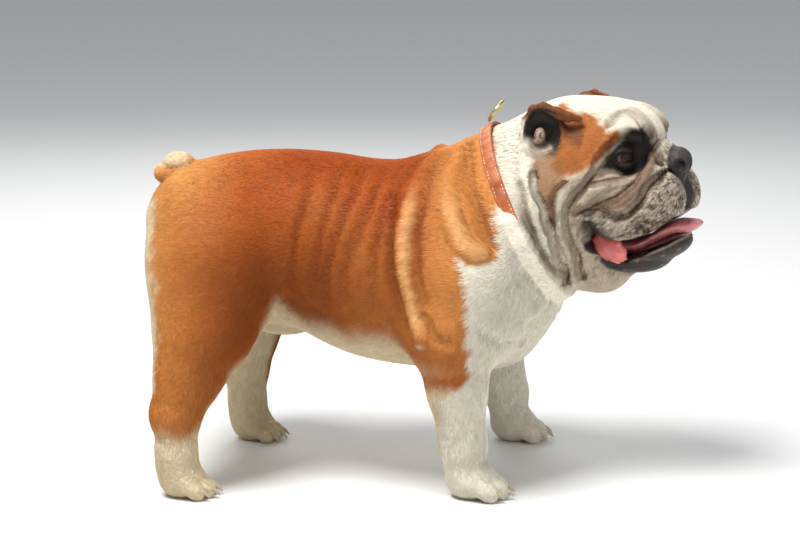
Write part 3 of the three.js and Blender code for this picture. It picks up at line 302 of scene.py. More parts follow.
class Loft:
    """Rounded body through sections along X."""
    def __init__(self, rows, power):
        self.rows, self.power = np.array(rows, float), power
        wide = self.rows[:, 3].max()
        self.low = np.array([self.rows[0, 0], -wide, self.rows[:, 2].min()])
        self.high = np.array([self.rows[-1, 0], wide, self.rows[:, 1].max()])

    def section(self, x):
        xs = self.rows[:, 0]
        i = np.clip(np.searchsorted(xs, x) - 1, 0, len(xs) - 2)
        span = xs[i + 1] - xs[i]
        t = np.clip((x - xs[i]) / span, 0, 1)
        out = []
        for k in (1, 2, 3):
            v = self.rows[:, k]
            ends = np.concatenate([[v[1] - v[0]], v[2:] - v[:-2], [v[-1] - v[-2]]])
            gaps = np.concatenate([[xs[1] - xs[0]], xs[2:] - xs[:-2], [xs[-1] - xs[-2]]])
            slope = ends / gaps
            out.append((1 + 2 * t) * (1 - t) ** 2 * v[i] + t * (1 - t) ** 2 * span * slope[i]
                       + t * t * (3 - 2 * t) * v[i + 1] + t * t * (t - 1) * span * slope[i + 1])
        return out

    def distance(self, x, y, z):
        top, bottom, wide = self.section(np.asarray(x, float))
        half = np.maximum((top - bottom) / 2, 0.1)
        wide = np.maximum(wide, 0.1)
        n = self.power
        u, v = np.abs(y) / wide, np.abs(z - (top + bottom) / 2) / half
        near = (u ** n + v ** n) ** (1 / n)
        tilt = np.sqrt((u ** (n - 1) / wide) ** 2 + (v ** (n - 1) / half) ** 2)
        tilt = tilt / np.maximum(near, 1e-6) ** (n - 1)
        d = (near - 1) / np.maximum(tilt, 1e-6)
        d = np.where(near < 0.3, -np.minimum(wide, half) * 0.7, d)
        over = np.maximum(self.rows[0, 0] - x, x - self.rows[-1, 0])
        return np.where(over > 0, np.sqrt(np.maximum(d, 0) ** 2 + np.maximum(over, 0) ** 2), d)


class Field:
    """Distances on a grid that is finer round the head, and the surface drawn from them."""
    def __init__(self, *axes):
        self.axes = [np.asarray(a, np.float32) for a in axes]
        self.value = np.full([len(a) for a in self.axes], FAR, np.float32)

    def block(self, low, high):
        cuts = []
        for axis, a, b in zip(self.axes, low, high):
            i, j = np.searchsorted(axis, a), np.searchsorted(axis, b)
            cuts.append(slice(max(i - 1, 0), min(j + 1, len(axis))))
        x, y, z = [axis[cut] for axis, cut in zip(self.axes, cuts)]
        return tuple(cuts), (x[:, None, None], y[None, :, None], z[None, None, :])

    def merge(self, shape, soft, margin, sign):
        cuts, grid = self.block(shape.low - margin, shape.high + margin)
        now = self.value[cuts]
        if now.size:
            d = sign * shape.distance(*grid).astype(np.float32)
            h = np.clip(0.5 + sign * 0.5 * (now - d) / soft, 0, 1)
            self.value[cuts] = now + (d - now) * h - sign * soft * h * (1 - h)

    def add(self, shape, soft, margin=None):
        self.merge(shape, soft, max(2 * soft, 12) if margin is None else margin, 1)

    def cut(self, shape, soft):
        self.merge(shape, soft, 2 * soft, -1)

    def at(self, points):
        low, part = [], []
        for i, axis in enumerate(self.axes):
            j = np.clip(np.searchsorted(axis, points[:, i]) - 1, 0, len(axis) - 2)
            low.append(j)
            part.append(np.clip((points[:, i] - axis[j]) / (axis[j + 1] - axis[j]), 0, 1))
        return between(self.value, low, part)

    def normal(self, points, reach=2.5):
        points = np.atleast_2d(points)
        ways = np.eye(3) * reach
        return unit(np.stack([self.at(points + w) - self.at(points - w) for w in ways], -1))

    def hit(self, start, way, reach=260.0, pace=1.0):
        """First surface point on the way from a start, or None."""
        t = np.arange(0, reach, pace)
        value = self.at(start + t[:, None] * way)
        inside = np.flatnonzero(value < 0)
        if not len(inside) or not inside[0]:
            return None
        i = inside[0]
        return start + way * (t[i] - pace * value[i] / (value[i] - value[i - 1]))

    def surface(self, level):
        """Surface nets: vertices and quads."""
        d = self.value - level
        inside = d < 0
        shape = np.array(d.shape) - 1
        count = np.zeros(shape, np.uint8)
        for c in CORNERS:
            count += inside[c[0]:shape[0] + c[0], c[1]:shape[1] + c[1], c[2]:shape[2] + c[2]]
        cells = np.argwhere((count > 0) & (count < 8))
        number = np.full(shape, -1, np.int32)
        number[tuple(cells.T)] = np.arange(len(cells))
        value = [d[tuple((cells + c).T)] for c in CORNERS]
        place = [np.stack([self.axes[i][cells[:, i] + c[i]] for i in range(3)], -1) for c in CORNERS]
        total, hits = np.zeros((len(cells), 3)), np.zeros(len(cells))
        for a in range(8):
            for b in range(a + 1, 8):
                if np.abs(CORNERS[a] - CORNERS[b]).sum() != 1:
                    continue
                m = (value[a] < 0) != (value[b] < 0)
                t = value[a][m] / (value[a][m] - value[b][m])
                total[m] += place[a][m] + (place[b][m] - place[a][m]) * t[:, None]
                hits[m] += 1
        quads = []
        for axis in range(3):
            one = tuple(slice(0, -1) if i == axis else slice(1, -1) for i in range(3))
            two = tuple(slice(1, None) if i == axis else slice(1, -1) for i in range(3))
            crossed = np.argwhere(inside[one] != inside[two])
            outward = inside[one][tuple(crossed.T)]
            u, w = [i for i in range(3) if i != axis]
            ring = []
            for du, dw in ((0, 0), (1, 0), (1, 1), (0, 1)):
                q = crossed.copy()
                q[:, u] += du
                q[:, w] += dw
                ring.append(number[tuple(q.T)])
            ring = np.stack(ring, 1)
            if axis == 1:
                outward = ~outward
            ring[~outward] = ring[~outward][:, ::-1]
            quads.append(ring)
        return total / hits[:, None], np.vstack(quads)


def head_ball(x, y, z, radii, turn=HEAD_TURN):
    return Ball(in_head(x, y, z), radii, turn)


# The body's masses
def trunk(f):
    f.add(Loft(TRUNK, 2.2), 10, FAR)
    f.add(Cone((112, 0, 266), (185, 0, 310), 110, 96), 20, FAR)
    f.add(Cone((185, 0, 310), (240, -4, 352), 96, 80), 20, FAR)
    for side in (-1, 1):
        for (x, y, z), radii, pitch, soft in BODY_BALLS:
            f.add(Ball((x, side * y, z), radii, turned(0, pitch)), soft, FAR)
    f.add(Ball((190, 0, 232), (32, 66, 54)), 30, FAR)
    f.add(Ball((-96, 0, 176), (38, 24, 20)), 16, FAR)


def paw_point(foot, yaw, size, x, y, z):
    return np.array([foot[0], foot[1], 0]) + turned(yaw) @ (np.array([x, y, z]) * size)


def paw(f, foot, yaw, size):
    turn = turned(yaw)

    def at(x, y, z):
        return paw_point(foot, yaw, size, x, y, z)

    f.add(Cone(at(-20, 0, 58), at(-17, 0, 26), 26 * size, 26 * size), 12, FAR)
    f.add(Ball(at(-7, 0, 20), np.array([29, 29, 22]) * size, turn), 12, FAR)
    for across, along in TOES:
        f.add(Cone(at(along - 18, across * 0.8, 22), at(along, across, 14), 13 * size, 12.5 * size), 3)
        f.add(Ball(at(along + 5, across * 1.04, 10), np.array([12, 9.5, 12]) * size, turn), 3)


def foreleg(f, side):
    fx, fy = FORE_FEET[side]
    elbow = np.array([110 + (fx - FORE_FEET[-1][0]) * 0.6, side * 116, 188])
    wrist = np.array([fx - 20, fy, 62])
    middle = (elbow + wrist) / 2
    f.add(Cone((122, side * 102, 235), elbow, 55, 45), 30, FAR)
    f.add(Cone(elbow, middle, 42, 32), 20, FAR)
    f.add(Cone(middle, wrist, 32, 27), 15, FAR)
    paw(f, (fx, fy), 0 if side < 0 else FAR_PAW_YAW, FORE_PAW)


def hindleg(f, side):
    fx, fy = HIND_FEET[side]
    hip = np.array([-160, side * 66, 250])
    knee = np.array([fx * 0.35 - 110, side * 102, 176])
    hock = np.array([fx - 17, fy * 0.97, 92])
    shin = (knee + hock) / 2
    f.add(Cone(hip, knee, 74, 50), 30, FAR)
    f.add(Ball(hip + (knee - hip) * 0.45, (56, 44, 72)), 30, FAR)
    f.add(Cone(knee, shin, 50, 37), 20, FAR)
    f.add(Cone(shin, hock, 37, 29), 15, FAR)
    f.add(Ball((hock[0] - 11, hock[1], 94), (15, 16, 18)), 12, FAR)
    f.add(Cone(hock, (fx - 16, fy, 34), 25, 22.5), 12, FAR)
    paw(f, (fx, fy), 0, HIND_PAW)


def tail(f):
    f.add(Cone((-204, 0, 342), (-222, -4, 352), 18, 13), 10)
    f.add(Ball((-216, -6, 359), (19, 14, 12)), 4)
    f.add(Ball((-232, -6, 345), (15, 14, 14)), 3)


def skull(f):
    f.add(head_ball(-8, 0, 20, (76, 76, 53)), 20, FAR)
    f.add(head_ball(34, 0, 25, (54, 62, 45)), 20, FAR)
    for side in (-1, 1):
        for (x, y, z), radii, yaw, soft in HEAD_BALLS:
            f.add(head_ball(x, side * y, z, radii, HEAD_TURN @ turned(side * yaw)), soft)
    f.add(head_ball(80, 0, 0, (30, 30, 24)), 10)
    f.add(head_ball(68, 0, -88, (55, 51, 25), HEAD_TURN @ turned(0, 8)), 6)
    f.add(head_ball(56, 0, -104, (42, 36, 20)), 8)


def dewlap(f):
    f.add(head_ball(-14, 0, -78, (58, 60, 62)), 20, FAR)
    f.add(head_ball(14, 0, -118, (38, 34, 32)), 14)


# Folds and creases laid on the surface
def body_side(f, path, side, count=14):
    found = [f.hit(np.array([x, side * 190.0, z]), np.array([0, -side, 0.0]))
             for x, z in smooth_path(path, count)]
    return [p for p in found if p is not None]


def head_side(f, path, side, count=18):
    way = HEAD_TURN @ np.array([0, -side, 0.0])
    found = [f.hit(in_head(x, side * 130, z), way, 120) for x, z in smooth_path(path, count)]
    return [p for p in found if p is not None]


def fold(f, points, radius, rise, soft):
    points = np.array(points)
    centres = points - f.normal(points) * (radius - rise)
    for a, b in pairs(centres):
        f.add(Cone(a, b, radius, radius), soft)


def crease(f, points, radius, depth, soft=1.5):
    points = np.array(points)
    centres = points + f.normal(points) * (radius - depth)
    for a, b in pairs(centres):
        f.cut(Cone(a, b, radius, radius), soft)


def nose(f):
    f.add(head_ball(88, 0, 13, (16, 25, 14)), 8)
    f.add(head_ball(103, 0, 7, (17, 21, 17)), 4)
    f.add(Cone(in_head(106, 0, 0), in_head(101, 0, -26), 12, 10), 8)
    for side in (-1, 1):
        f.add(head_ball(106, side * 12, 3, (11, 11, 11)), 3)
        f.cut(Cone(in_head(110, side * 20, -6), in_head(95, side * 27, -6), 3.8, 3.4), 1)
        f.cut(head_ball(111, side * 19, 3, (5.5, 6.5, 6)), 1)
        f.cut(Cone(in_head(111, side * 20, 1), in_head(109, side * 22, -6), 2.6, 3.2), 1)
        crease(f, [in_head(x, side * y, z) for x, y, z in NOSE_SIDE], 2.4, 3)
    crease(f, [in_head(x, 0, z) for x, z in NOSE_GROOVE], 2, 3)


def mouth(f):
    side = HEAD_TURN[:, 1]
    for (x0, z0, gap0), (x1, z1, gap1) in pairs(MOUTH):
        f.cut(Cone(in_head(x0, 0, z0), in_head(x1, 0, z1), gap0, gap1, side, 30), 3)


def eye_frame(side):
    centre = in_head(EYE_AT[0], side * EYE_AT[1], EYE_AT[2])
    way = HEAD_TURN @ unit(EYE_WAY * (1, side, 1))
    across = unit(np.cross((0, 0, 1), way))
    return centre, np.stack([way, across, np.cross(way, across)], 1)


def sockets(f):
    for side in (-1, 1):
        centre, turn = eye_frame(side)
        front = centre + turn[:, 0] * EYE_RADIUS
        f.cut(Ball(front, (10, 20, 15), turn), 12)
        f.add(Ball(centre, EYE_RADIUS + 4.2), 3)
        f.cut(Ball(front, (15, 10.5, 4.6), turn), 1.5)


def ears(f):
    for side in (-1, 1):
        def at(x, y, z):
            return in_head(x, side * y, z)

        def ridge(path, radius, soft):
            for a, b in pairs(path):
                f.add(Cone(at(*a), at(*b), radius, radius), soft)

        lean = HEAD_TURN @ turned(0, 10)
        f.add(Ball(at(-28, 74, 42), (25, 15, 30), lean), 8)
        f.cut(Ball(at(*EAR_CUP), EAR_CUP_RADII, lean), 3)
        ridge([(-47, 80, 52), (-38, 85, 66), (-25, 86, 70), (-10, 83, 65), (2, 77, 59), (12, 70, 55)], 5, 3)
        ridge([(-26, 84, 66), (-10, 82, 58), (2, 76, 54)], 4.5, 3)
        ridge([(-49, 80, 54), (-50, 82, 38), (-50, 84, 22), (-57, 86, 12)], 4.5, 3)
        ridge([(-50, 84, 20), (-38, 85, 13), (-24, 80, 18), (-12, 76, 30)], 3.5, 3)
        f.add(Ball(at(*EAR_LUMP), (8, 7, 11), HEAD_TURN), 3)
        f.add(Ball(at(-34, 80, 28), (5, 5, 4), HEAD_TURN), 1.5)


COLLAR_STEPS = 32
RING_RADIUS = 13.0
RING_WIRE = 2.0
RING_LIFT = 28.0
COLLAR_EASE = 10
COLLAR_HALF = COLLAR_WIDTH / 2
STITCHES = 150
STITCH_SUNK = 0.45


def on_collar(along, radius, angle):
    return COLLAR_AT + COLLAR_TURN @ np.array([along, radius * math.sin(angle), radius * math.cos(angle)])


def collar_radii(f):
    radii = []
    for angle in full_turn(COLLAR_STEPS):
        inward = COLLAR_TURN @ np.array([0, -math.sin(angle), -math.cos(angle)])
        point = f.hit(on_collar(0, 200, angle), inward, 199)
        radii.append(60.0 if point is None else np.linalg.norm(point - COLLAR_AT))
    for _ in range(COLLAR_EASE):
        radii = (np.roll(radii, 1) + 2 * np.array(radii) + np.roll(radii, -1)) / 4
    return radii


def cover_collar(f, radii):
    """A flap of loose skin under the throat covers the lower part of the collar."""
    first, last, radius = 10, 22, 13
    centres = [on_collar(-2, radii[i] - 5, 2 * math.pi * i / COLLAR_STEPS) for i in range(first, last + 1)]
    for a, b in pairs(centres):
        f.add(Cone(a, b, radius, radius), 8)


def graded(low, turn_at, high):
    """Grid lines that are closer together past the turn, where the head is."""
    coarse = np.arange(low, turn_at, COARSE_STEP * DETAIL)
    return np.concatenate([coarse, np.arange(turn_at, high, FINE_STEP * DETAIL)])


def whole_field():
    f = Field(graded(-272, 175, 402), np.arange(-204, 206, CROSS_STEP * DETAIL), graded(-10, 225, 452))
    trunk(f)
    for side in (-1, 1):
        foreleg(f, side)
        hindleg(f, side)
    tail(f)
    skull(f)
    dewlap(f)
    for side in (-1, 1):
        folds = [(body_side(f, path, side), radius, rise) for path, radius, rise in BODY_FOLDS]
        folds += [(head_side(f, path, side), radius, rise) for path, radius, rise in HEAD_FOLDS]
        for points, radius, rise in folds:
            fold(f, points, radius, rise, 4)
        creases = [(body_side(f, path, side, 24), radius, depth) for path, radius, depth in BODY_CREASES]
        creases += [(head_side(f, path, side, 36), radius, depth) for path, radius, depth in HEAD_CREASES]
        creases += [(body_side(f, path, side, 16), RIPPLE_RADIUS, RIPPLE_DEPTH) for path in RIB_RIPPLES]
        for points, radius, depth in creases:
            crease(f, points, radius, depth, 3)
    nose(f)
    ears(f)
    mouth(f)
    sockets(f)
    radii = collar_radii(f)
    cover_collar(f, radii)
    return f, radii


field, collar_path = whole_field()

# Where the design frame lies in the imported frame
eye_low, eye_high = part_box("eye_right")
SHIFT = np.array((eye_low + eye_high) / 2) - in_head(EYE_AT[0], -EYE_AT[1], EYE_AT[2]) * MM


# Meshes
def new_object(name, data):
    obj = bpy.data.objects.new(name, data)
    bpy.context.scene.collection.objects.link(obj)
    return obj


def make_mesh(name, points, faces):
    """Object from points in design millimetres and faces of one size."""
    points, faces = np.asarray(points, float), np.asarray(faces)
    mesh = bpy.data.meshes.new(name)
    mesh.vertices.add(len(points))
    mesh.vertices.foreach_set("co", (points * MM + SHIFT).astype(np.float32).ravel())
    sides = faces.shape[1]
    mesh.loops.add(faces.size)
    mesh.loops.foreach_set("vertex_index", faces.ravel().astype(np.int32))
    mesh.polygons.add(len(faces))
    mesh.polygons.foreach_set("loop_start", np.arange(len(faces), dtype=np.int32) * sides)
    mesh.polygons.foreach_set("loop_total", np.full(len(faces), sides, np.int32))
    mesh.update()
    mesh.validate()
    mesh.polygons.foreach_set("use_smooth", np.ones(len(mesh.polygons), bool))
    return new_object(name, mesh)


def paint(obj, name, colours):
    rgba = np.concatenate([colours, np.ones((len(colours), 1))], 1).astype(np.float32)
    attribute = obj.data.color_attributes.new(name, "FLOAT_COLOR", "POINT")
    attribute.data.foreach_set("color", rgba.ravel())


def weigh(obj, name, values):
    attribute = obj.data.attributes.new(name, "FLOAT", "POINT")
    attribute.data.foreach_set("value", np.asarray(values, np.float32))


# Colours as linear light
RUST = np.array([0.43, 0.088, 0.010])
DEEP = np.array([0.27, 0.068, 0.010])
BACK_RED = np.array([0.30, 0.045, 0.004])
RUMP_TAN = np.array([0.58, 0.215, 0.050])
TAN = np.array([0.74, 0.34, 0.10])
CREAM = np.array([0.76, 0.62, 0.40])
WHITE = np.array([0.86, 0.79, 0.64])
GREY = np.array([0.36, 0.29, 0.21])
BLACK = np.array([0.022, 0.018, 0.016])
BROWN = np.array([0.16, 0.075, 0.035])
PINK = np.array([0.62, 0.24, 0.22])
FOLD_CREAM = np.array([0.64, 0.50, 0.36])
FLESH = np.array([0.60, 0.36, 0.30])
TEAR_BROWN = np.array([0.26, 0.13, 0.075])
SPECKLE = np.array([0.74, 0.62, 0.49])
# Powers by which the channels darken in creases and hollows, so that shade on fur stays warm
BODY_SHADE = np.array([0.8, 1.1, 1.2])
HEAD_SHADE = np.array([0.85, 1.0, 1.1])


def near_path(px, pz, path):
    """Distance to a side-view path."""
    nearest = np.full(len(px), 1e9)
    for (x0, z0), (x1, z1) in pairs(np.array(path, float)):
        ex, ez = x1 - x0, z1 - z0
        t = np.clip(((px - x0) * ex + (pz - z0) * ez) / (ex * ex + ez * ez), 0, 1)
        nearest = np.minimum(nearest, np.hypot(px - x0 - t * ex, pz - z0 - t * ez))
    return nearest


def inside(px, pz, polygon, soft):
    """1 inside a side-view polygon, 0 outside, soft across its edge."""
    ring = np.array(polygon + polygon[:1], float)
    odd = np.zeros(len(px), bool)
    for (x0, z0), (x1, z1) in pairs(ring):
        if z0 != z1:
            odd ^= ((z0 > pz) != (z1 > pz)) & (px < x0 + (pz - z0) * (x1 - x0) / (z1 - z0))
    nearest = near_path(px, pz, ring)
    return step(np.where(odd, nearest, -nearest), -soft, soft)


# Markings: side-view outlines of the body, (x, z)
WHITE_FRONT = [
    (300, 500), (300, -20), (95, -20), (100, 120), (128, 138), (136, 150), (137, 180), (131, 210),
    (130, 245), (120, 276), (136, 270), (160, 268), (163, 283), (160, 320), (152, 345), (160, 500)]
# and of the head, in its own frame
TEMPLE = [
    (-19, 73), (-4, 62), (12, 59), (22, 56), (32, 51), (41, 45), (40, 40), (53, 44), (55, 37), (46, 26),
    (40, 14), (32, 7), (20, 0), (10, -4), (-1, -3), (-8, 6), (-9, 19), (-15, 27), (-29, 25)]
CHEEK = [
    (-32, 14), (-10, 24), (4, 2), (7, -10), (-2, -21), (-6, -35), (-5, -58), (-10, -54), (-14, -39),
    (-19, -27), (-26, -12)]
EYE_PATCH = [
    (38, 3), (44, 19), (56, 33), (64, 44), (74, 46), (80, 35), (81, 21), (80, 8), (73, -4), (62, -7),
    (48, -4)]
MASK = [
    (88, 30), (106, 26), (124, 12), (134, -30), (126, -60), (96, -68), (60, -84), (40, -70), (24, -56),
    (13, -62), (13, -46), (24, -40), (40, -40), (60, -47), (74, -38), (84, -24), (90, -12), (92, 6)]
CHIN = [
    (26, -100), (40, -104), (60, -104), (96, -88), (122, -74), (140, -62), (140, -96), (110, -116),
    (60, -124), (34, -116), (26, -108)]
LIP_BAND = [(24, -50), (34, -56), (44, -68), (58, -78), (60, -110), (34, -108), (20, -88), (20, -60)]
NOSE_PAD = Ball((104, 0, 5), (20, 25, 19))
NOSTRIL = [(110, 4), (108, -5), (94, -6)]
EAR_LUMP_RADII = (9, 9, 12)
FRAY = 5.0
HOLLOW_REACH = 7


def fur_edges(points):
    """How far the edges of the markings are pushed about, so that they look like hair."""
    return FRAY * noise.many(points, 26, 2) + 0.5 * FRAY * noise.many(points + 91, 5, 2)


def layered(colour, *layers):
    """Colour under layers, each with the share that it covers."""
    for rgb, share in layers:
        colour = blend(colour, rgb, share)
    return colour


def darker(colour, left, shade):
    """Colour of which a share is left."""
    return colour * left[:, None] ** shade


def body_colour(points, normals, ragged):
    x, y, z = points.T
    patchy = noise.many(points + 40, 60, 3)
    rump = step(-x, 95, 215)
    shoulder = step(x, 60, 110)
    over_ribs = step(x, -30, 20)
    low_side = step(335 - z + 0.4 * ragged, 0, 90)
    deep = 0.75 * low_side * (1 - rump) * (1 - shoulder) * (1 - 0.6 * over_ribs) + 0.15 * patchy
    thigh_back = step(-x, 190, 235) * step(z, 150, 220)
    croup = step(-x, 130, 200) * step(z, 300, 350)
    on_tail = step(z, 338, 352) * step(-x, 196, 208)
    white = inside(x + ragged, z + 0.6 * ragged, WHITE_FRONT, 4)
    belly = step(-normals[:, 2] + 0.01 * ragged, 0.35, 0.75) * (z < 240) * (x < 215)
    legs = step(132 - z + 1.2 * ragged, -10, 12) * step(x, 40, 60)
    shank = step(78 - z + 1.5 * ragged, -14, 16) * step(-x, 40, 60)
    inner = step(-normals[:, 1] * np.sign(y), 0.1, 0.5) * (z < 190)
    rear = step(-normals[:, 0] + 0.02 * ragged, 0.66, 0.92) * (z > 120) * (z < 325) * (x < -180)
    cream = np.clip(legs + shank + inner + rear, 0, 1)
    ridges = np.minimum(near_path(x - 3, z, BODY_RIDGE), near_path(x - 2, z, NECK_RIDGE))
    ridge = 0.85 * step(11 - ridges + 0.6 * ragged, 0, 8) * (1 - white) * (x < 160)
    colour = layered(
        np.tile(RUST, (len(x), 1)),
        (RUMP_TAN, np.clip(0.9 * rump + 0.22 * patchy, 0, 1)), (DEEP, np.clip(deep, 0, 0.85)),
        (RUMP_TAN, 0.35 * over_ribs * step(330 - z, 0, 50)),
        (BACK_RED, 0.65 * step(z, 335, 365) * step(x, -120, -60)),
        (RUMP_TAN * 0.7 + TAN * 0.4, 0.8 * shoulder * step(z, 130, 230)),
        (TAN, np.maximum(0.55 * thigh_back, 0.5 * croup)), (TAN * 1.1, 0.8 * on_tail),
        (CREAM * 1.1, 0.85 * on_tail * step(z - 350 + 0.5 * ragged, 0, 8)),
        (CREAM, np.clip(np.maximum(belly, cream), 0, 1)), (WHITE, white),
        (TAN + CREAM * 0.2, ridge * step(z, 188, 205) * step(362 - z, 0, 50)))
    # Painted shade: the coat is darkened along the body's creases and the grooves between the ribs
    dark_lines = [(path, 5, 0.42) for path, _, _ in BODY_CREASES[:3]]
    dark_lines += [(path, 6, 0.30) for path in RIB_RIPPLES]
    for path, wide, dark in dark_lines:
        line = step(wide + 3 - near_path(x - 3, z, path) + 0.4 * ragged, 0, wide + 2) * (1 - white)
        line = line * step(z, 200, 290) * step(366 - z, 0, 40)
        colour = darker(colour, 1 - dark * line, BODY_SHADE)
    return colour


def head_colour(colour, points, ragged, head):
    hx, hy, hz = to_head(points).T
    rx, rz = hx + 0.5 * ragged, hz + 0.5 * ragged
    face = head * step(hx, -6, 20) * step(20 - hz, 0, 20)
    tears = step(11 - near_path(hx, hz, TEAR_ROLL) + 0.5 * ragged, 0, 8) * head
    speckle = step(noise(points, 1.5) + 0.5 * noise(points + 50, 6), -0.5, 0.45)
    grizzled = blend(np.tile(GREY * 0.30, (len(hx), 1)), SPECKLE, speckle)
    return layered(
        colour, (WHITE, head), (FOLD_CREAM, 0.75 * face),
        (RUST * 0.55 + TAN * 0.36, inside(rx, rz, TEMPLE, 3) * head * step(np.abs(hy), 26, 38)),
        (BROWN * 0.6 + TAN * 0.4, 0.85 * inside(rx, rz, CHEEK, 4) * head), (TEAR_BROWN, 0.75 * tears),
        (grizzled, inside(rx, rz, MASK, 6) * head * 0.9),
        (GREY * 0.4, step(noise(points + 70, 2.0), 0.2, 0.7) * face * 0.45),
        (BLACK * 1.8, inside(rx, rz, EYE_PATCH, 3) * head * step(np.abs(hy), 14, 24)))


def nose_and_lips(colour, points, ragged, head):
    """Colour with the nose and the lips laid on, and how bare the skin is."""
    hx, hy, hz = to_head(points).T
    off = np.abs(hy)
    pad = step(-NOSE_PAD.distance(hx, hy, hz), -2.5, 0.0) * step(hx + 0.25 * ragged - 0.1 * off, 93, 97)
    pebbles = step(noise(points, 1.3), -0.5, 0.5)[:, None]
    # Painted light: the top of the nose pad is made lighter where it faces up to the light
    pad_top_light = step(hz, -2, 16)[:, None]
    # Painted shade: the nostril openings are painted near black
    nostril = step(5.0 - near_path(hx, hz, NOSTRIL), 0, 1.8)
    front = step(24 + 0.8 * ragged - off + 0.06 * hz, 0, 8) * step(hx, 88, 94) * step(6 - hz, 0, 8)
    front = front * step(hz, -66, -58) * head
    chin = inside(hx, hz, CHIN, 3) * head
    gap = near_path(hx, hz, [(a, b) for a, b, _ in MOUTH])
    gap_half = np.interp(hx, [a for a, _, _ in MOUTH], [c for _, _, c in MOUTH])
    lip = step(gap_half + 4.5 - gap, 0, 2.5) * head * step(hx, 18, 24)
    lip = np.maximum(lip, inside(hx, hz, LIP_BAND, 2) * head)
    deep = step(52 - off, 0, 8) * step(gap_half + 1.5 - gap, 0, 1.5) * head
    colour = layered(
        colour, (BLACK * (1.0 + 1.3 * pebbles + 1.1 * pad_top_light), pad),
        (BLACK * 0.2, pad * nostril * step(off, 6, 10)), (BLACK * 1.7, front), (BLACK * 1.5, chin),
        (PINK * 0.45, chin * step(noise(points + 130, 7), 0.62, 0.82)), (BLACK * 1.3, lip),
        (PINK * 0.45, deep))
    return colour, np.maximum.reduce([pad, front, lip, chin * 0.8, deep])


def ear_reach(hx, off, hz, centre, radii):
    """Distance from the centre of a ball on either ear, in its radii."""
    near = [(a - b) / c for a, b, c in zip((hx, off, hz), centre, radii)]
    return np.sqrt(near[0] ** 2 + near[1] ** 2 + near[2] ** 2)


def ear_colour(colour, points, normals, ragged):
    """Colour with the ears laid on, and how bare their cups are."""
    hx, hy, hz = to_head(points).T
    off = np.abs(hy)
    cup = ear_reach(hx, off, hz, EAR_CUP, EAR_CUP_RADII)
    on_ear = step(off, 66, 70) * (hx > -68) * (hx < 18) * (hz > 6)
    outer = on_ear * step(hz + 0.45 * hx, 26, 40) * step(cup, 0.95, 1.05)
    middle = np.stack([hx - EAR_CUP[0], off - EAR_CUP[1], hz - EAR_CUP[2]], 1)
    across = normals @ HEAD_TURN
    across[:, 1] *= np.sign(hy)
    facing = -(unit(middle) * across).sum(1)
    # The inside of the ear cup is painted black: partly its dark skin, partly painted shade in the hollow
    dark_cup_and_shade = step(facing + 0.04 * ragged, 0.05, 0.4) * step(1.30 - cup, 0, 0.12) * on_ear
    dark_cup_and_shade = dark_cup_and_shade * step(hz + 0.5 * ragged + 0.35 * (hx + 26), 20, 30)
    lobe = step(28 - hz + 0.5 * ragged, 0, 8) * step(-14 - hx + 0.5 * ragged, 0, 8) * step(off, 77, 81)
    lobe = lobe * on_ear * step(1.5 - cup, 0, 0.3)
    shade = step(hx + 0.5 * hz, -14, 0) * step(34 - hz, 0, 14) * step(cup, 1.0, 1.1) * step(1.6 - cup, 0, 0.4)
    lump = step(1.05 - ear_reach(hx, off, hz, EAR_LUMP, EAR_LUMP_RADII), 0, 0.2) * on_ear
    colour = layered(
        colour, (BROWN * 0.9 + RUST * 0.25, outer), (GREY * 1.15, 0.75 * lobe),
        (BROWN * 0.5, 0.8 * shade * on_ear), (BLACK * 1.4, dark_cup_and_shade),
        (FLESH * 0.8, lump * step(noise(points + 9, 4), -0.7, -0.1)))
    return colour, dark_cup_and_shade * 0.8


def markings(points, normals):
    """Coat colour with painted shade in creases and hollows, how bare the skin is, and how deep in a crease
    of the face.
    """
    ragged = fur_edges(points)
    hx, hy, hz = to_head(points).T
    head = step(hx + 0.25 * hz, -52, -46) * step(hz, -170, -160)
    colour = body_colour(points, normals, ragged)
    colour = head_colour(colour, points, ragged, head)
    colour, bare = nose_and_lips(colour, points, ragged, head)
    colour, bare_cup = ear_colour(colour, points, normals, ragged)
    # Painted shade: thin dark lines along the creases of the face
    lines = np.zeros(len(points))
    for path, _, depth in HEAD_CREASES:
        line = step(2.7 - near_path(hx, hz, path) + 0.25 * ragged, 0, 1.9) * min(depth / 4.5, 1)
        lines = np.maximum(lines, line)
    lines = lines * (1 - 0.6 * step(hz, 36, 52)) * head * step(np.abs(hy), 10, 18)
    colour = darker(colour, 1 - 0.86 * lines, HEAD_SHADE)
    # Painted shade: darker where a hollow or fold shuts out the light, most on the head
    hollow = step(field.at(points + normals * HOLLOW_REACH) - field.at(points), 1.5, 6.8)
    hollow = 1 - (1 - hollow) * (0.45 + 0.40 * head)
    return darker(colour, 0.30 + 0.70 * hollow, HEAD_SHADE), np.maximum(bare, bare_cup), lines


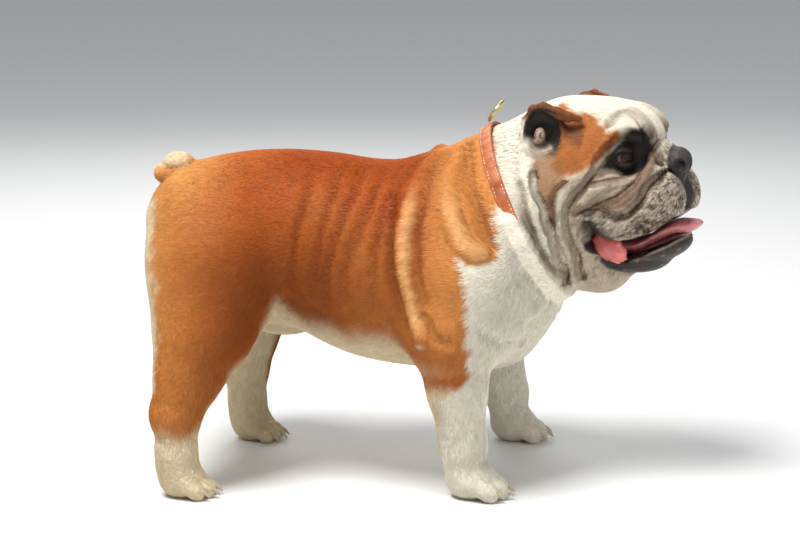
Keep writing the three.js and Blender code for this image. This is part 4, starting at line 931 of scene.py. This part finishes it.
# Materials
class Shader:
    """New material with short ways to add and link its nodes; in settings _ stands for a space."""
    def __init__(self, name, **settings):
        self.material = bpy.data.materials.new(name)
        self.material.use_nodes = True
        self.tree = self.material.node_tree
        self.main = self.tree.nodes["Principled BSDF"]
        for key, value in settings.items():
            self.main.inputs[key.replace("_", " ")].default_value = value

    def add(self, kind, **settings):
        node = self.tree.nodes.new("ShaderNode" + kind)
        for key, value in settings.items():
            socket = key.replace("_", " ")
            if socket in node.inputs:
                node.inputs[socket].default_value = value
            else:
                setattr(node, key, value)
        return node

    def link(self, source, output, node, socket):
        self.tree.links.new(source.outputs[output], node.inputs[socket])

    def over_object(self, kind, **settings):
        node = self.add(kind, **settings)
        self.link(self.add("TexCoord"), "Object", node, "Vector")
        return node

    def bump(self, source, output, strength, distance):
        node = self.add("Bump", Strength=strength, Distance=distance)
        self.link(source, output, node, "Height")
        self.link(node, "Normal", self.main, "Normal")

    def ranged(self, source, low, high, from_low=0, from_high=1):
        node = self.add("MapRange", From_Min=from_low, From_Max=from_high, To_Min=low, To_Max=high)
        self.link(source, "Fac", node, "Value")
        return node

    def ramp(self, source, output, stops):
        node = self.add("ValToRGB")
        self.link(source, output, node, "Fac")
        elements = node.color_ramp.elements
        for place, _ in stops[1:-1]:
            elements.new(place)
        for element, (place, rgb) in zip(elements, stops):
            element.position = place
            element.color = (*rgb, 1)
        return node

    def mottled(self, scale, detail, stops):
        """Base colour from noise over the object."""
        noisy = self.over_object("TexNoise", Scale=scale, Detail=detail)
        self.link(self.ramp(noisy, "Fac", stops), "Color", self.main, "Base Color")

    def toned(self, colour, tone):
        """Base colour from one node's colour, made lighter or darker by another node."""
        node = self.add("VectorMath", operation="SCALE")
        self.link(colour, "Color", node, 0)
        self.link(tone, "Result", node, "Scale")
        self.link(node, "Vector", self.main, "Base Color")


def skin_material():
    shader = Shader("skin", Specular_IOR_Level=0.25)
    bare = shader.add("Attribute", attribute_name="bare")
    stretch = shader.over_object("Mapping", Scale=(140, 420, 420))
    hair = shader.add("TexNoise", Scale=1.0, Detail=3.0, Roughness=0.6)
    shader.link(stretch, "Vector", hair, "Vector")
    surface = shader.add("Mix", data_type="FLOAT")
    shader.link(bare, "Fac", surface, 0)
    shader.link(hair, "Fac", surface, 2)
    shader.link(shader.over_object("TexVoronoi", Scale=520.0), "Distance", surface, 3)
    shader.bump(surface, 0, 0.5, 0.0012)
    tone = shader.ranged(hair, 0.72, 1.08, 0.3, 0.7)
    shader.toned(shader.add("Attribute", attribute_name="coat"), tone)
    shader.link(shader.ranged(bare, 0.72, 0.38), "Result", shader.main, "Roughness")
    return shader.material


def skin():
    points, quads = field.surface(-COAT_DEPTH)
    normals = field.normal(points)
    points[:, 2] = np.maximum(points[:, 2], SOLE)
    colour, bare, _ = markings(points, normals)
    obj = make_mesh("skin", points, quads)
    paint(obj, "coat", colour)
    weigh(obj, "bare", bare)
    obj.data.materials.append(skin_material())
    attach(obj, "root")
    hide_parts("torso", "neck", "head", "tail", "foreleg_right", "foreleg_left", "hindleg_right",
                "hindleg_left", "ear_right", "ear_left")
    return points, quads


# The coat: short tufts that lie along the body
TUFTS = 430000
HAIR_SCALE = 1.0
PIECE_TUFTS = 62000
PATCH = 0.003
SPARE_SHARE = 1.12
ROOT_DEPTH = 0.35
# Painted shade at the sunk root corners of each tuft and painted light at its tip
TUFT_SHADING = np.array([0.84, 0.84, 0.92, 1.08])
rng = np.random.default_rng(5)


def hair_length(points):
    x, _, z = points.T
    hx, _, hz = to_head(points).T
    length = np.full(len(x), 7.0)
    length = length + 2.5 * step(x, 95, 130) * step(z, 230, 300)
    head = step(hx + 0.25 * hz, -56, -40) * step(hz, -150, -120)
    length = length + (4.6 - length) * head
    length = length + (2.8 - length) * head * step(hx, 40, 80)
    feet = step(75 - z, 0, 55)
    return length + (4.2 - length) * feet


def lie(points, normals):
    """Way that the hair runs, along the surface."""
    x, y, z = points.T
    hx, hy, hz = to_head(points).T
    still = np.zeros(len(x))
    way = np.stack([still - 1, still, -0.25 - 0.9 * step(270 - z, 0, 110)], 1)
    way = blend(way, np.stack([still - 0.25, still, still - 1], 1), step(170 - z, 0, 60))
    front = step(x, 165, 205) * step(330 - z, 0, 60)
    way = blend(way, np.stack([still - 0.4, 0.3 * np.sign(y), still - 1], 1), front)
    back_from_nose = unit(np.stack([hx - 130, hy * 1.2, hz - 6 - 0.2 * np.abs(hy)], 1)) @ HEAD_TURN.T
    head = step(hx + 0.25 * hz, -66, -46) * step(hz, -140, -110)
    way = blend(way, back_from_nose, head)
    way = unit(way - normals * (way * normals).sum(1)[:, None])
    swirl = 0.35 * noise(points + 300, 34) + rng.normal(0, 0.13, len(x))
    return way * np.cos(swirl)[:, None] + np.cross(normals, way) * np.sin(swirl)[:, None]


def unwrap(points, normals):
    """Place of each point on flat charts, one for each side of each part, set out in a square."""
    x, y, z = points.T
    leg = (z < 160) * (1 + (x > 0) + 2 * (y > 0))
    part = np.where(to_head(points)[:, 0] > -50, 5, leg)
    axis = np.abs(normals).argmax(1)
    facing = normals[np.arange(len(x)), axis] > 0
    chart = part * 6 + axis * 2 + facing
    flat = np.stack([np.where(axis == 0, y, x), np.where(axis == 2, y, z)], 1)
    margin = 6
    names = np.unique(chart)
    lows = np.array([flat[chart == c].min(0) for c in names])
    sizes = np.array([flat[chart == c].max(0) for c in names]) - lows + margin
    across = math.sqrt(sizes.prod(1).sum()) * 1.15
    place = np.zeros_like(lows)
    u = v = shelf = 0
    for i in np.argsort(-sizes[:, 1]):
        if u + sizes[i, 0] > across and u:
            u, v, shelf = 0, v + shelf, 0
        place[i] = u, v
        u, shelf = u + sizes[i, 0], max(shelf, sizes[i, 1])
    i = np.searchsorted(names, chart)
    return (flat - lows[i] + place[i] + margin / 2) / (max(across, v + shelf) * 1.02)


def sown(points, quads, count):
    """Random places over the skin, closer together where the hair is shorter."""
    corners = [points[quads[:, k]] for k in range(4)]
    area = np.linalg.norm(np.cross(corners[2] - corners[0], corners[3] - corners[1]), axis=1)
    weight = area * (8.0 / hair_length(sum(corners) / 4)) ** 1.1
    pick = rng.choice(len(quads), count, p=weight / weight.sum())
    u, v = rng.random((2, count, 1))
    a, b, c, d = [corner[pick] for corner in corners]
    return (a * (1 - u) + b * u) * (1 - v) + (d * (1 - u) + c * u) * v


def under_collar(points):
    along, _, _ = ((points - COLLAR_AT) @ COLLAR_TURN).T
    return np.abs(along) < COLLAR_HALF + 1


def coat_material():
    shader = Shader("coat_hair", Roughness=0.6, Specular_IOR_Level=0.18)
    shader.link(shader.add("Attribute", attribute_name="coat"), "Color", shader.main, "Base Color")
    return shader.material


def coat(points, quads):
    roots = sown(points, quads, int(TUFTS * SPARE_SHARE))
    normals = field.normal(roots)
    colour, bare, lines = markings(roots, normals)
    kept = (bare < 0.35) & (lines < 0.75) & ~under_collar(roots) & (roots[:, 2] > 3)
    roots, normals, colour = roots[kept][:TUFTS], normals[kept][:TUFTS], colour[kept][:TUFTS]
    count = len(roots)
    length = hair_length(roots) * rng.uniform(0.75, 1.2, count)
    width = ((0.20 + 0.045 * length) * HAIR_SCALE)[:, None]
    way = lie(roots, normals)
    side = np.cross(normals, way)
    rise = 0.7 + 0.08 * length + 0.4 * rng.random(count)
    tip = roots + way * length[:, None]
    away = field.normal(tip)
    tip = tip + away * (rise - COAT_DEPTH - field.at(tip))[:, None]
    tip[:, 2] = np.maximum(tip[:, 2], SOLE)
    sunk = roots - normals * ROOT_DEPTH
    corners = np.stack([sunk + side * width, sunk - side * width, roots + normals * 0.4 * width, tip], 1)
    shade = unit(unit(corners - (roots + tip)[:, None] / 2) * 0.45 + normals[:, None] * 0.9)
    tone = rng.uniform(0.88, 1.12, count)[:, None, None]
    streak = (1 + 0.10 * noise(roots, 7))[:, None, None]
    # Each tuft is darker at its roots and lighter at its tip: painted shade and painted light in the coat
    paints = colour[:, None] * tone * streak * TUFT_SHADING[None, :, None]
    uv = unwrap(roots, normals)
    patch = (np.array([(0, 0), (1, 0), (0.5, 1)]) - (0.5, 0.4)) * PATCH
    material = coat_material()
    triangles = np.array([(0, 2, 3), (2, 1, 3), (1, 0, 3)])
    for k, start in enumerate(range(0, count, PIECE_TUFTS)):
        part = slice(start, min(start + PIECE_TUFTS, count))
        size = part.stop - part.start
        faces = (np.arange(size)[:, None, None] * 4 + triangles).reshape(-1, 3)
        obj = make_mesh(f"coat_{k + 1}", corners[part].reshape(-1, 3), faces)
        paint(obj, "coat", np.clip(paints[part].reshape(-1, 3), 0, 1))
        layer = obj.data.uv_layers.new(name="OFBake")
        spots = (uv[part][:, None, None] + patch[None, None]).repeat(3, 1)
        layer.data.foreach_set("uv", spots.astype(np.float32).ravel())
        obj.data.normals_split_custom_set_from_vertices(shade[part].reshape(-1, 3))
        obj.data.materials.append(material)
        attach(obj, "root")


# Small pieces
def tube(rings, closed):
    """Points and quads of a skin over rings of equal counts; open ends are closed by their middle points."""
    rings = np.asarray(rings)
    rows, around, _ = rings.shape
    points = rings.reshape(-1, 3)
    faces = []
    for i in range(rows if closed else rows - 1):
        a = i * around
        b = (i + 1) % rows * around
        for j in range(around):
            k = (j + 1) % around
            faces.append((a + j, a + k, b + k, b + j))
    if not closed:
        points = np.vstack([points, rings[0].mean(0), rings[-1].mean(0)])
        first, last = len(points) - 2, len(points) - 1
        top = (rows - 1) * around
        for j in range(0, around, 2):
            k, m = (j + 1) % around, (j + 2) % around
            faces.append((first, m, k, j))
            faces.append((last, top + j, top + k, top + m))
    return points, np.array(faces)


def joined(parts):
    points, faces, start = [], [], 0
    for p, f in parts:
        points.append(p)
        faces.append(f + start)
        start += len(p)
    return np.vstack(points), np.vstack(faces)


def finished(obj, material, slot, *nodes):
    obj.data.materials.append(material)
    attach(obj, "root")
    if nodes:
        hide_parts(*nodes)


def tube_piece(name, rings, material, slot, *nodes, closed=False, flip=False):
    """Piece made of one tube, and its points; flip turns the faces over."""
    points, faces = tube(rings, closed)
    obj = make_mesh(name, points, faces[:, ::-1] if flip else faces)
    finished(obj, material, slot, *nodes)
    return obj, points


def eye_material():
    shader = Shader("eye_wet", Roughness=0.12, Specular_IOR_Level=0.1, Coat_Weight=0.2, Coat_Roughness=0.02)
    ring = shader.add("Attribute", attribute_name="ring")
    fine = shader.add("Math", operation="MULTIPLY")
    fine.inputs[1].default_value = 40
    shader.link(shader.add("Attribute", attribute_name="spoke"), "Fac", fine, 0)
    place = shader.add("CombineXYZ")
    shader.link(fine, 0, place, "X")
    shader.link(ring, "Fac", place, "Y")
    fibres = shader.add("TexNoise", Scale=1.0, Detail=2.0)
    shader.link(place, "Vector", fibres, "Vector")
    bands = shader.ramp(shader.ranged(ring, 0, 1, 0, EYE_RADIUS), "Result", [
        (0.0, (0.002, 0.002, 0.002)), (0.30, (0.003, 0.002, 0.002)), (0.34, (0.020, 0.008, 0.004)),
        (0.55, (0.030, 0.012, 0.005)), (0.64, (0.006, 0.003, 0.002)), (0.74, (0.03, 0.015, 0.011)),
        (0.9, (0.10, 0.055, 0.045))])
    shader.toned(bands, shader.ranged(fibres, 0.5, 1.6))
    return shader.material


def eyes():
    """Eyeballs with a raised cornea."""
    material = eye_material()
    rows, spokes = 40, 48
    for name, side in SIDES:
        centre, turn = eye_frame(side)
        rings = []
        for i in range(1, rows):
            a = math.pi * i / rows
            radius = EYE_RADIUS - 0.35 + 0.5 * math.exp(-(a / 0.5) ** 2)
            around = [(math.cos(a), math.sin(a) * math.cos(b), math.sin(a) * math.sin(b))
                      for b in full_turn(spokes)]
            rings.append(centre + radius * np.array(around) @ turn.T)
        obj, points = tube_piece(f"eyeball_{name}", rings, material, "eye", f"eye_{name}")
        local = (points - centre) @ turn
        angle = np.arctan2(np.hypot(local[:, 1], local[:, 2]), local[:, 0])
        weigh(obj, "ring", angle * EYE_RADIUS)
        weigh(obj, "spoke", np.arctan2(local[:, 2], local[:, 1]))


def flesh_material(name, rgb, rough):
    shader = Shader(name, Roughness=rough, Coat_Weight=0.6, Coat_Roughness=0.12)
    shader.mottled(90.0, 3.0, [(0.3, (rgb[0] * 0.6, rgb[1] * 0.5, rgb[2] * 0.5)), (0.7, rgb)])
    shader.bump(shader.over_object("TexVoronoi", Scale=900.0), "Distance", 0.35, 0.0006)
    return shader.material


def tongue():
    rows, around, tip_share = 60, 40, 0.14
    path = smooth_path([(x, 0, z) for x, z, _, _ in TONGUE], rows)
    sizes = smooth_path([(wide, high) for _, _, wide, high in TONGUE], rows)
    rings = []
    for i, (wide, high) in enumerate(sizes):
        in_tip = max(0, i - rows * (1 - tip_share)) / (rows * tip_share)
        end = min(1, math.sqrt(max(0.02, 1 - in_tip ** 2)))
        ring = []
        for a in full_turn(around):
            across = math.cos(a)
            lift = math.sin(a) * high * 0.93 * end
            groove = 1.6 * math.exp(-(across * wide / 3.5) ** 2) if lift > 0 else 0
            curl = 1.2 * abs(across) ** 3
            ruffle = 0.35 * math.sin(i * 1.3 + 7 * across) * abs(across) ** 2
            up = path[i, 2] + lift - groove + curl + ruffle
            ring.append(in_head(path[i, 0], across * wide * 0.94 * end, up))
        rings.append(ring)
    material = flesh_material("tongue_flesh", (0.66, 0.22, 0.21), 0.32)
    tube_piece("tongue_wet", rings, material, "tongue", "tongue", flip=True)


def mouth_lining():
    """Ruffled pink inside of each cheek, seen at the corner of the mouth."""
    material = flesh_material("lining_flesh", (0.80, 0.18, 0.15), 0.3)
    rows = 26
    for name, side in SIDES:
        rings = []
        for i in range(1, rows):
            a = math.pi * i / rows
            ring = []
            for b in full_turn(40):
                ruffle = 1 + 0.05 * math.sin(9 * b + 3 * a) + 0.04 * math.sin(17 * b)
                x = 20 * math.sin(a) * math.cos(b) * ruffle
                z = 15 * math.sin(a) * math.sin(b) * ruffle
                ring.append(in_head(42 + x, side * (50 - 9 * math.cos(a)), -88 + z - 0.35 * x))
            rings.append(ring)
        tube_piece(f"mouth_lining_{name}", rings, material, "tongue", flip=side > 0)


def mouth_floor():
    """Dark wet floor of the mouth, between the tongue and the jaw."""
    rings = []
    for t in np.linspace(0, 1, 24):
        swell = math.sin(math.pi * (0.08 + 0.84 * t)) ** 0.5
        ring = []
        for b in full_turn(32):
            up = (4.5 + 3.5 * t) * swell * math.sin(b) + 0.5 * math.sin(40 * t + 5 * b)
            ring.append(in_head(52 + 66 * t, 23 * swell * math.cos(b), -101 + 28 * t + up))
        rings.append(ring)
    material = flesh_material("gum_flesh", (0.17, 0.05, 0.05), 0.3)
    tube_piece("mouth_floor", rings, material, "tongue", flip=True)


def claws():
    shader = Shader("horn", Roughness=0.35)
    shader.mottled(400.0, 2.0, [(0.0, (0.28, 0.22, 0.15)), (1.0, (0.60, 0.50, 0.38))])
    feet = [
        ("foreleg_right", FORE_FEET[-1], 0, FORE_PAW), ("foreleg_left", FORE_FEET[1], FAR_PAW_YAW, FORE_PAW),
        ("hindleg_right", HIND_FEET[-1], 0, HIND_PAW), ("hindleg_left", HIND_FEET[1], 0, HIND_PAW)]
    for name, foot, yaw, size in feet:
        parts = []
        for across, along in TOES:
            root = paw_point(foot, yaw, size, along + 11, across * 1.08, 13.5)
            bend = paw_point(foot, yaw, size, along + 18, across * 1.1, 11.5)
            end = paw_point(foot, yaw, size, along + 22.5, across * 1.12, 4.5)
            rings = []
            for t in np.linspace(0, 1, 9):
                middle = root * (1 - t) ** 2 + 2 * bend * t * (1 - t) + end * t * t
                way = unit((bend - root) * (1 - t) + (end - bend) * t)
                out = unit(np.cross(way, (0, 0, 1)))
                up = np.cross(out, way)
                radius = 3.1 * (1 - t) ** 0.7 + 0.35
                rings.append([middle + radius * (0.8 * math.cos(a) * out + math.sin(a) * up)
                              for a in full_turn(12)])
            parts.append(tube(rings, False))
        points, faces = joined(parts)
        finished(make_mesh(f"claws_{name}", points, faces[:, ::-1]), shader.material, "face")


def collar_leather():
    steps = 240
    places = np.arange(steps) / steps * COLLAR_STEPS
    low = np.floor(places).astype(int)
    share = step(places - low, 0, 1)
    rounded = collar_path[low] * (1 - share) + collar_path[(low + 1) % COLLAR_STEPS] * share
    section = []
    for a in full_turn(28):
        c, s = math.cos(a), math.sin(a)
        along = math.copysign(abs(c) ** 0.35, c) * COLLAR_HALF * 0.985
        out = math.copysign(abs(s) ** 0.5, s) * COLLAR_THICK * 0.47
        if s > 0 and COLLAR_HALF * 0.6 < abs(along) < COLLAR_HALF * 0.78:
            out -= STITCH_SUNK
        section.append((along, COLLAR_THICK * 0.1 + out))
    rings = [[on_collar(along, rounded[i] + out, 2 * math.pi * i / steps) for along, out in section]
             for i in range(steps)]
    shader = Shader("leather", Roughness=0.5)
    shader.mottled(60.0, 4.0, [(0.3, (0.32, 0.07, 0.015)), (0.75, (0.60, 0.17, 0.042))])
    shader.bump(shader.over_object("TexVoronoi", Scale=1100.0), "Distance", 0.3, 0.0004)
    tube_piece("collar_leather", rings, shader.material, "collar", "collar", closed=True)


def collar_stitches():
    """A row of stitches along each edge of the collar."""
    nodes = np.arange(-1, COLLAR_STEPS + 2)
    parts = []
    for edge in (-1, 1):
        for k in range(STITCHES):
            ring = []
            for t in np.linspace(0, 1, 6):
                angle = 2 * math.pi * k / STITCHES + (t - 0.5) * 2 * math.pi / STITCHES * 0.66
                radius = np.interp(angle * COLLAR_STEPS / (2 * math.pi), nodes,
                                   collar_path[nodes % COLLAR_STEPS])
                thick = 0.45 * math.sin(math.pi * (0.15 + 0.7 * t))
                radius += COLLAR_THICK * 0.56 - STITCH_SUNK
                ring.append([on_collar(edge * COLLAR_HALF * 0.69 + thick * math.cos(b),
                                       radius + thick * math.sin(b), angle) for b in full_turn(6)])
            parts.append(tube(ring, False))
    shader = Shader("thread", Base_Color=(0.78, 0.70, 0.55, 1), Roughness=0.8)
    shader.bump(shader.over_object("TexWave", Scale=500.0), "Fac", 0.5, 0.0003)
    finished(make_mesh("collar_stitches", *joined(parts)), shader.material, "collar")


def collar_ring():
    ring_turn = COLLAR_TURN @ turned(0, RING_LIFT)
    ring_at = on_collar(COLLAR_HALF + RING_RADIUS * 0.6, collar_path[0] + RING_RADIUS * 0.92, 0)
    wire = RING_WIRE * 0.97
    rings = []
    for a in full_turn(72):
        out = np.array([math.cos(a), math.sin(a), 0])
        rings.append([ring_at + ring_turn @ (out * (RING_RADIUS + wire * math.cos(b))
                                             + np.array([0, 0, wire * math.sin(b)])) for b in full_turn(20)])
    shader = Shader("brass", Metallic=1.0, Base_Color=(0.62, 0.50, 0.26, 1))
    worn = shader.add("TexNoise", Scale=300.0, Detail=3.0)
    shader.link(shader.ranged(worn, 0.16, 0.42), "Result", shader.main, "Roughness")
    tube_piece("collar_ring_brass", rings, shader.material, "ring", "collar_ring", closed=True, flip=True)


# Floor, light and camera
CAMERA_AZIMUTH = 8.0
CAMERA_DISTANCE = 2.35
CAMERA_HEIGHT = 0.66
FOCAL_PIXELS = 2070.0
FRAME_PIXELS = (800.0, 533.0)
ORIGIN_PIXEL = (366.0, 467.0)
# Lamps: name, place, width, power
LAMPS = [
    ("key", (-0.8, -1.15, 3.1), 1.3, 128), ("fill", (2.4, -2.0, 1.2), 2.2, 22),
    ("rim", (-0.6, 2.2, 2.2), 1.8, 30)]
LAMPS_AIM = (0, 0, 0.2)


def make_camera():
    azimuth = math.radians(CAMERA_AZIMUTH)
    eye = np.array([CAMERA_DISTANCE * math.sin(azimuth), -CAMERA_DISTANCE * math.cos(azimuth), CAMERA_HEIGHT])
    down = (ORIGIN_PIXEL[1] - FRAME_PIXELS[1] / 2) / FOCAL_PIXELS
    across = (ORIGIN_PIXEL[0] - FRAME_PIXELS[0] / 2) / FOCAL_PIXELS
    pitch = math.atan2(CAMERA_HEIGHT, CAMERA_DISTANCE) - math.atan(down)
    heading = math.atan2(-eye[1], -eye[0]) + math.atan(across / math.cos(pitch))
    level = math.cos(pitch)
    ahead = np.array([math.cos(heading) * level, math.sin(heading) * level, -math.sin(pitch)])
    right = np.array([math.sin(heading), -math.cos(heading), 0.0])
    up = np.cross(right, ahead)
    place = eye + SHIFT
    data = bpy.data.cameras.new("camera")
    data.sensor_width = 36.0
    data.lens = FOCAL_PIXELS / FRAME_PIXELS[0] * data.sensor_width
    camera = new_object("camera", data)
    rows = [[right[i], up[i], -ahead[i], place[i]] for i in range(3)]
    camera.matrix_world = Matrix(rows + [[0, 0, 0, 1]])
    bpy.context.scene.camera = camera


def make_stage():
    bpy.ops.mesh.primitive_plane_add(size=30)
    floor = bpy.context.object
    floor.name = "floor"
    floor.data.materials.append(Shader("floor", Base_Color=(0.80, 0.80, 0.78, 1), Roughness=0.9).material)
    world = bpy.data.worlds.new("studio")
    world.use_nodes = True
    sky = world.node_tree.nodes["Background"]
    sky.inputs["Color"].default_value = (0.92, 0.95, 1.0, 1)
    sky.inputs["Strength"].default_value = 0.42
    bpy.context.scene.world = world
    for name, place, size, power in LAMPS:
        data = bpy.data.lights.new(name, "AREA")
        data.size = size
        data.energy = power
        lamp = new_object(name, data)
        lamp.location = place
        lamp.rotation_euler = (Vector(LAMPS_AIM) - Vector(place)).to_track_quat("-Z", "Y").to_euler()
    bpy.context.scene.view_settings.view_transform = "Standard"


make_camera()
make_stage()
coat(*skin())
eyes()
tongue()
mouth_lining()
mouth_floor()
claws()
collar_leather()
collar_stitches()
collar_ring()
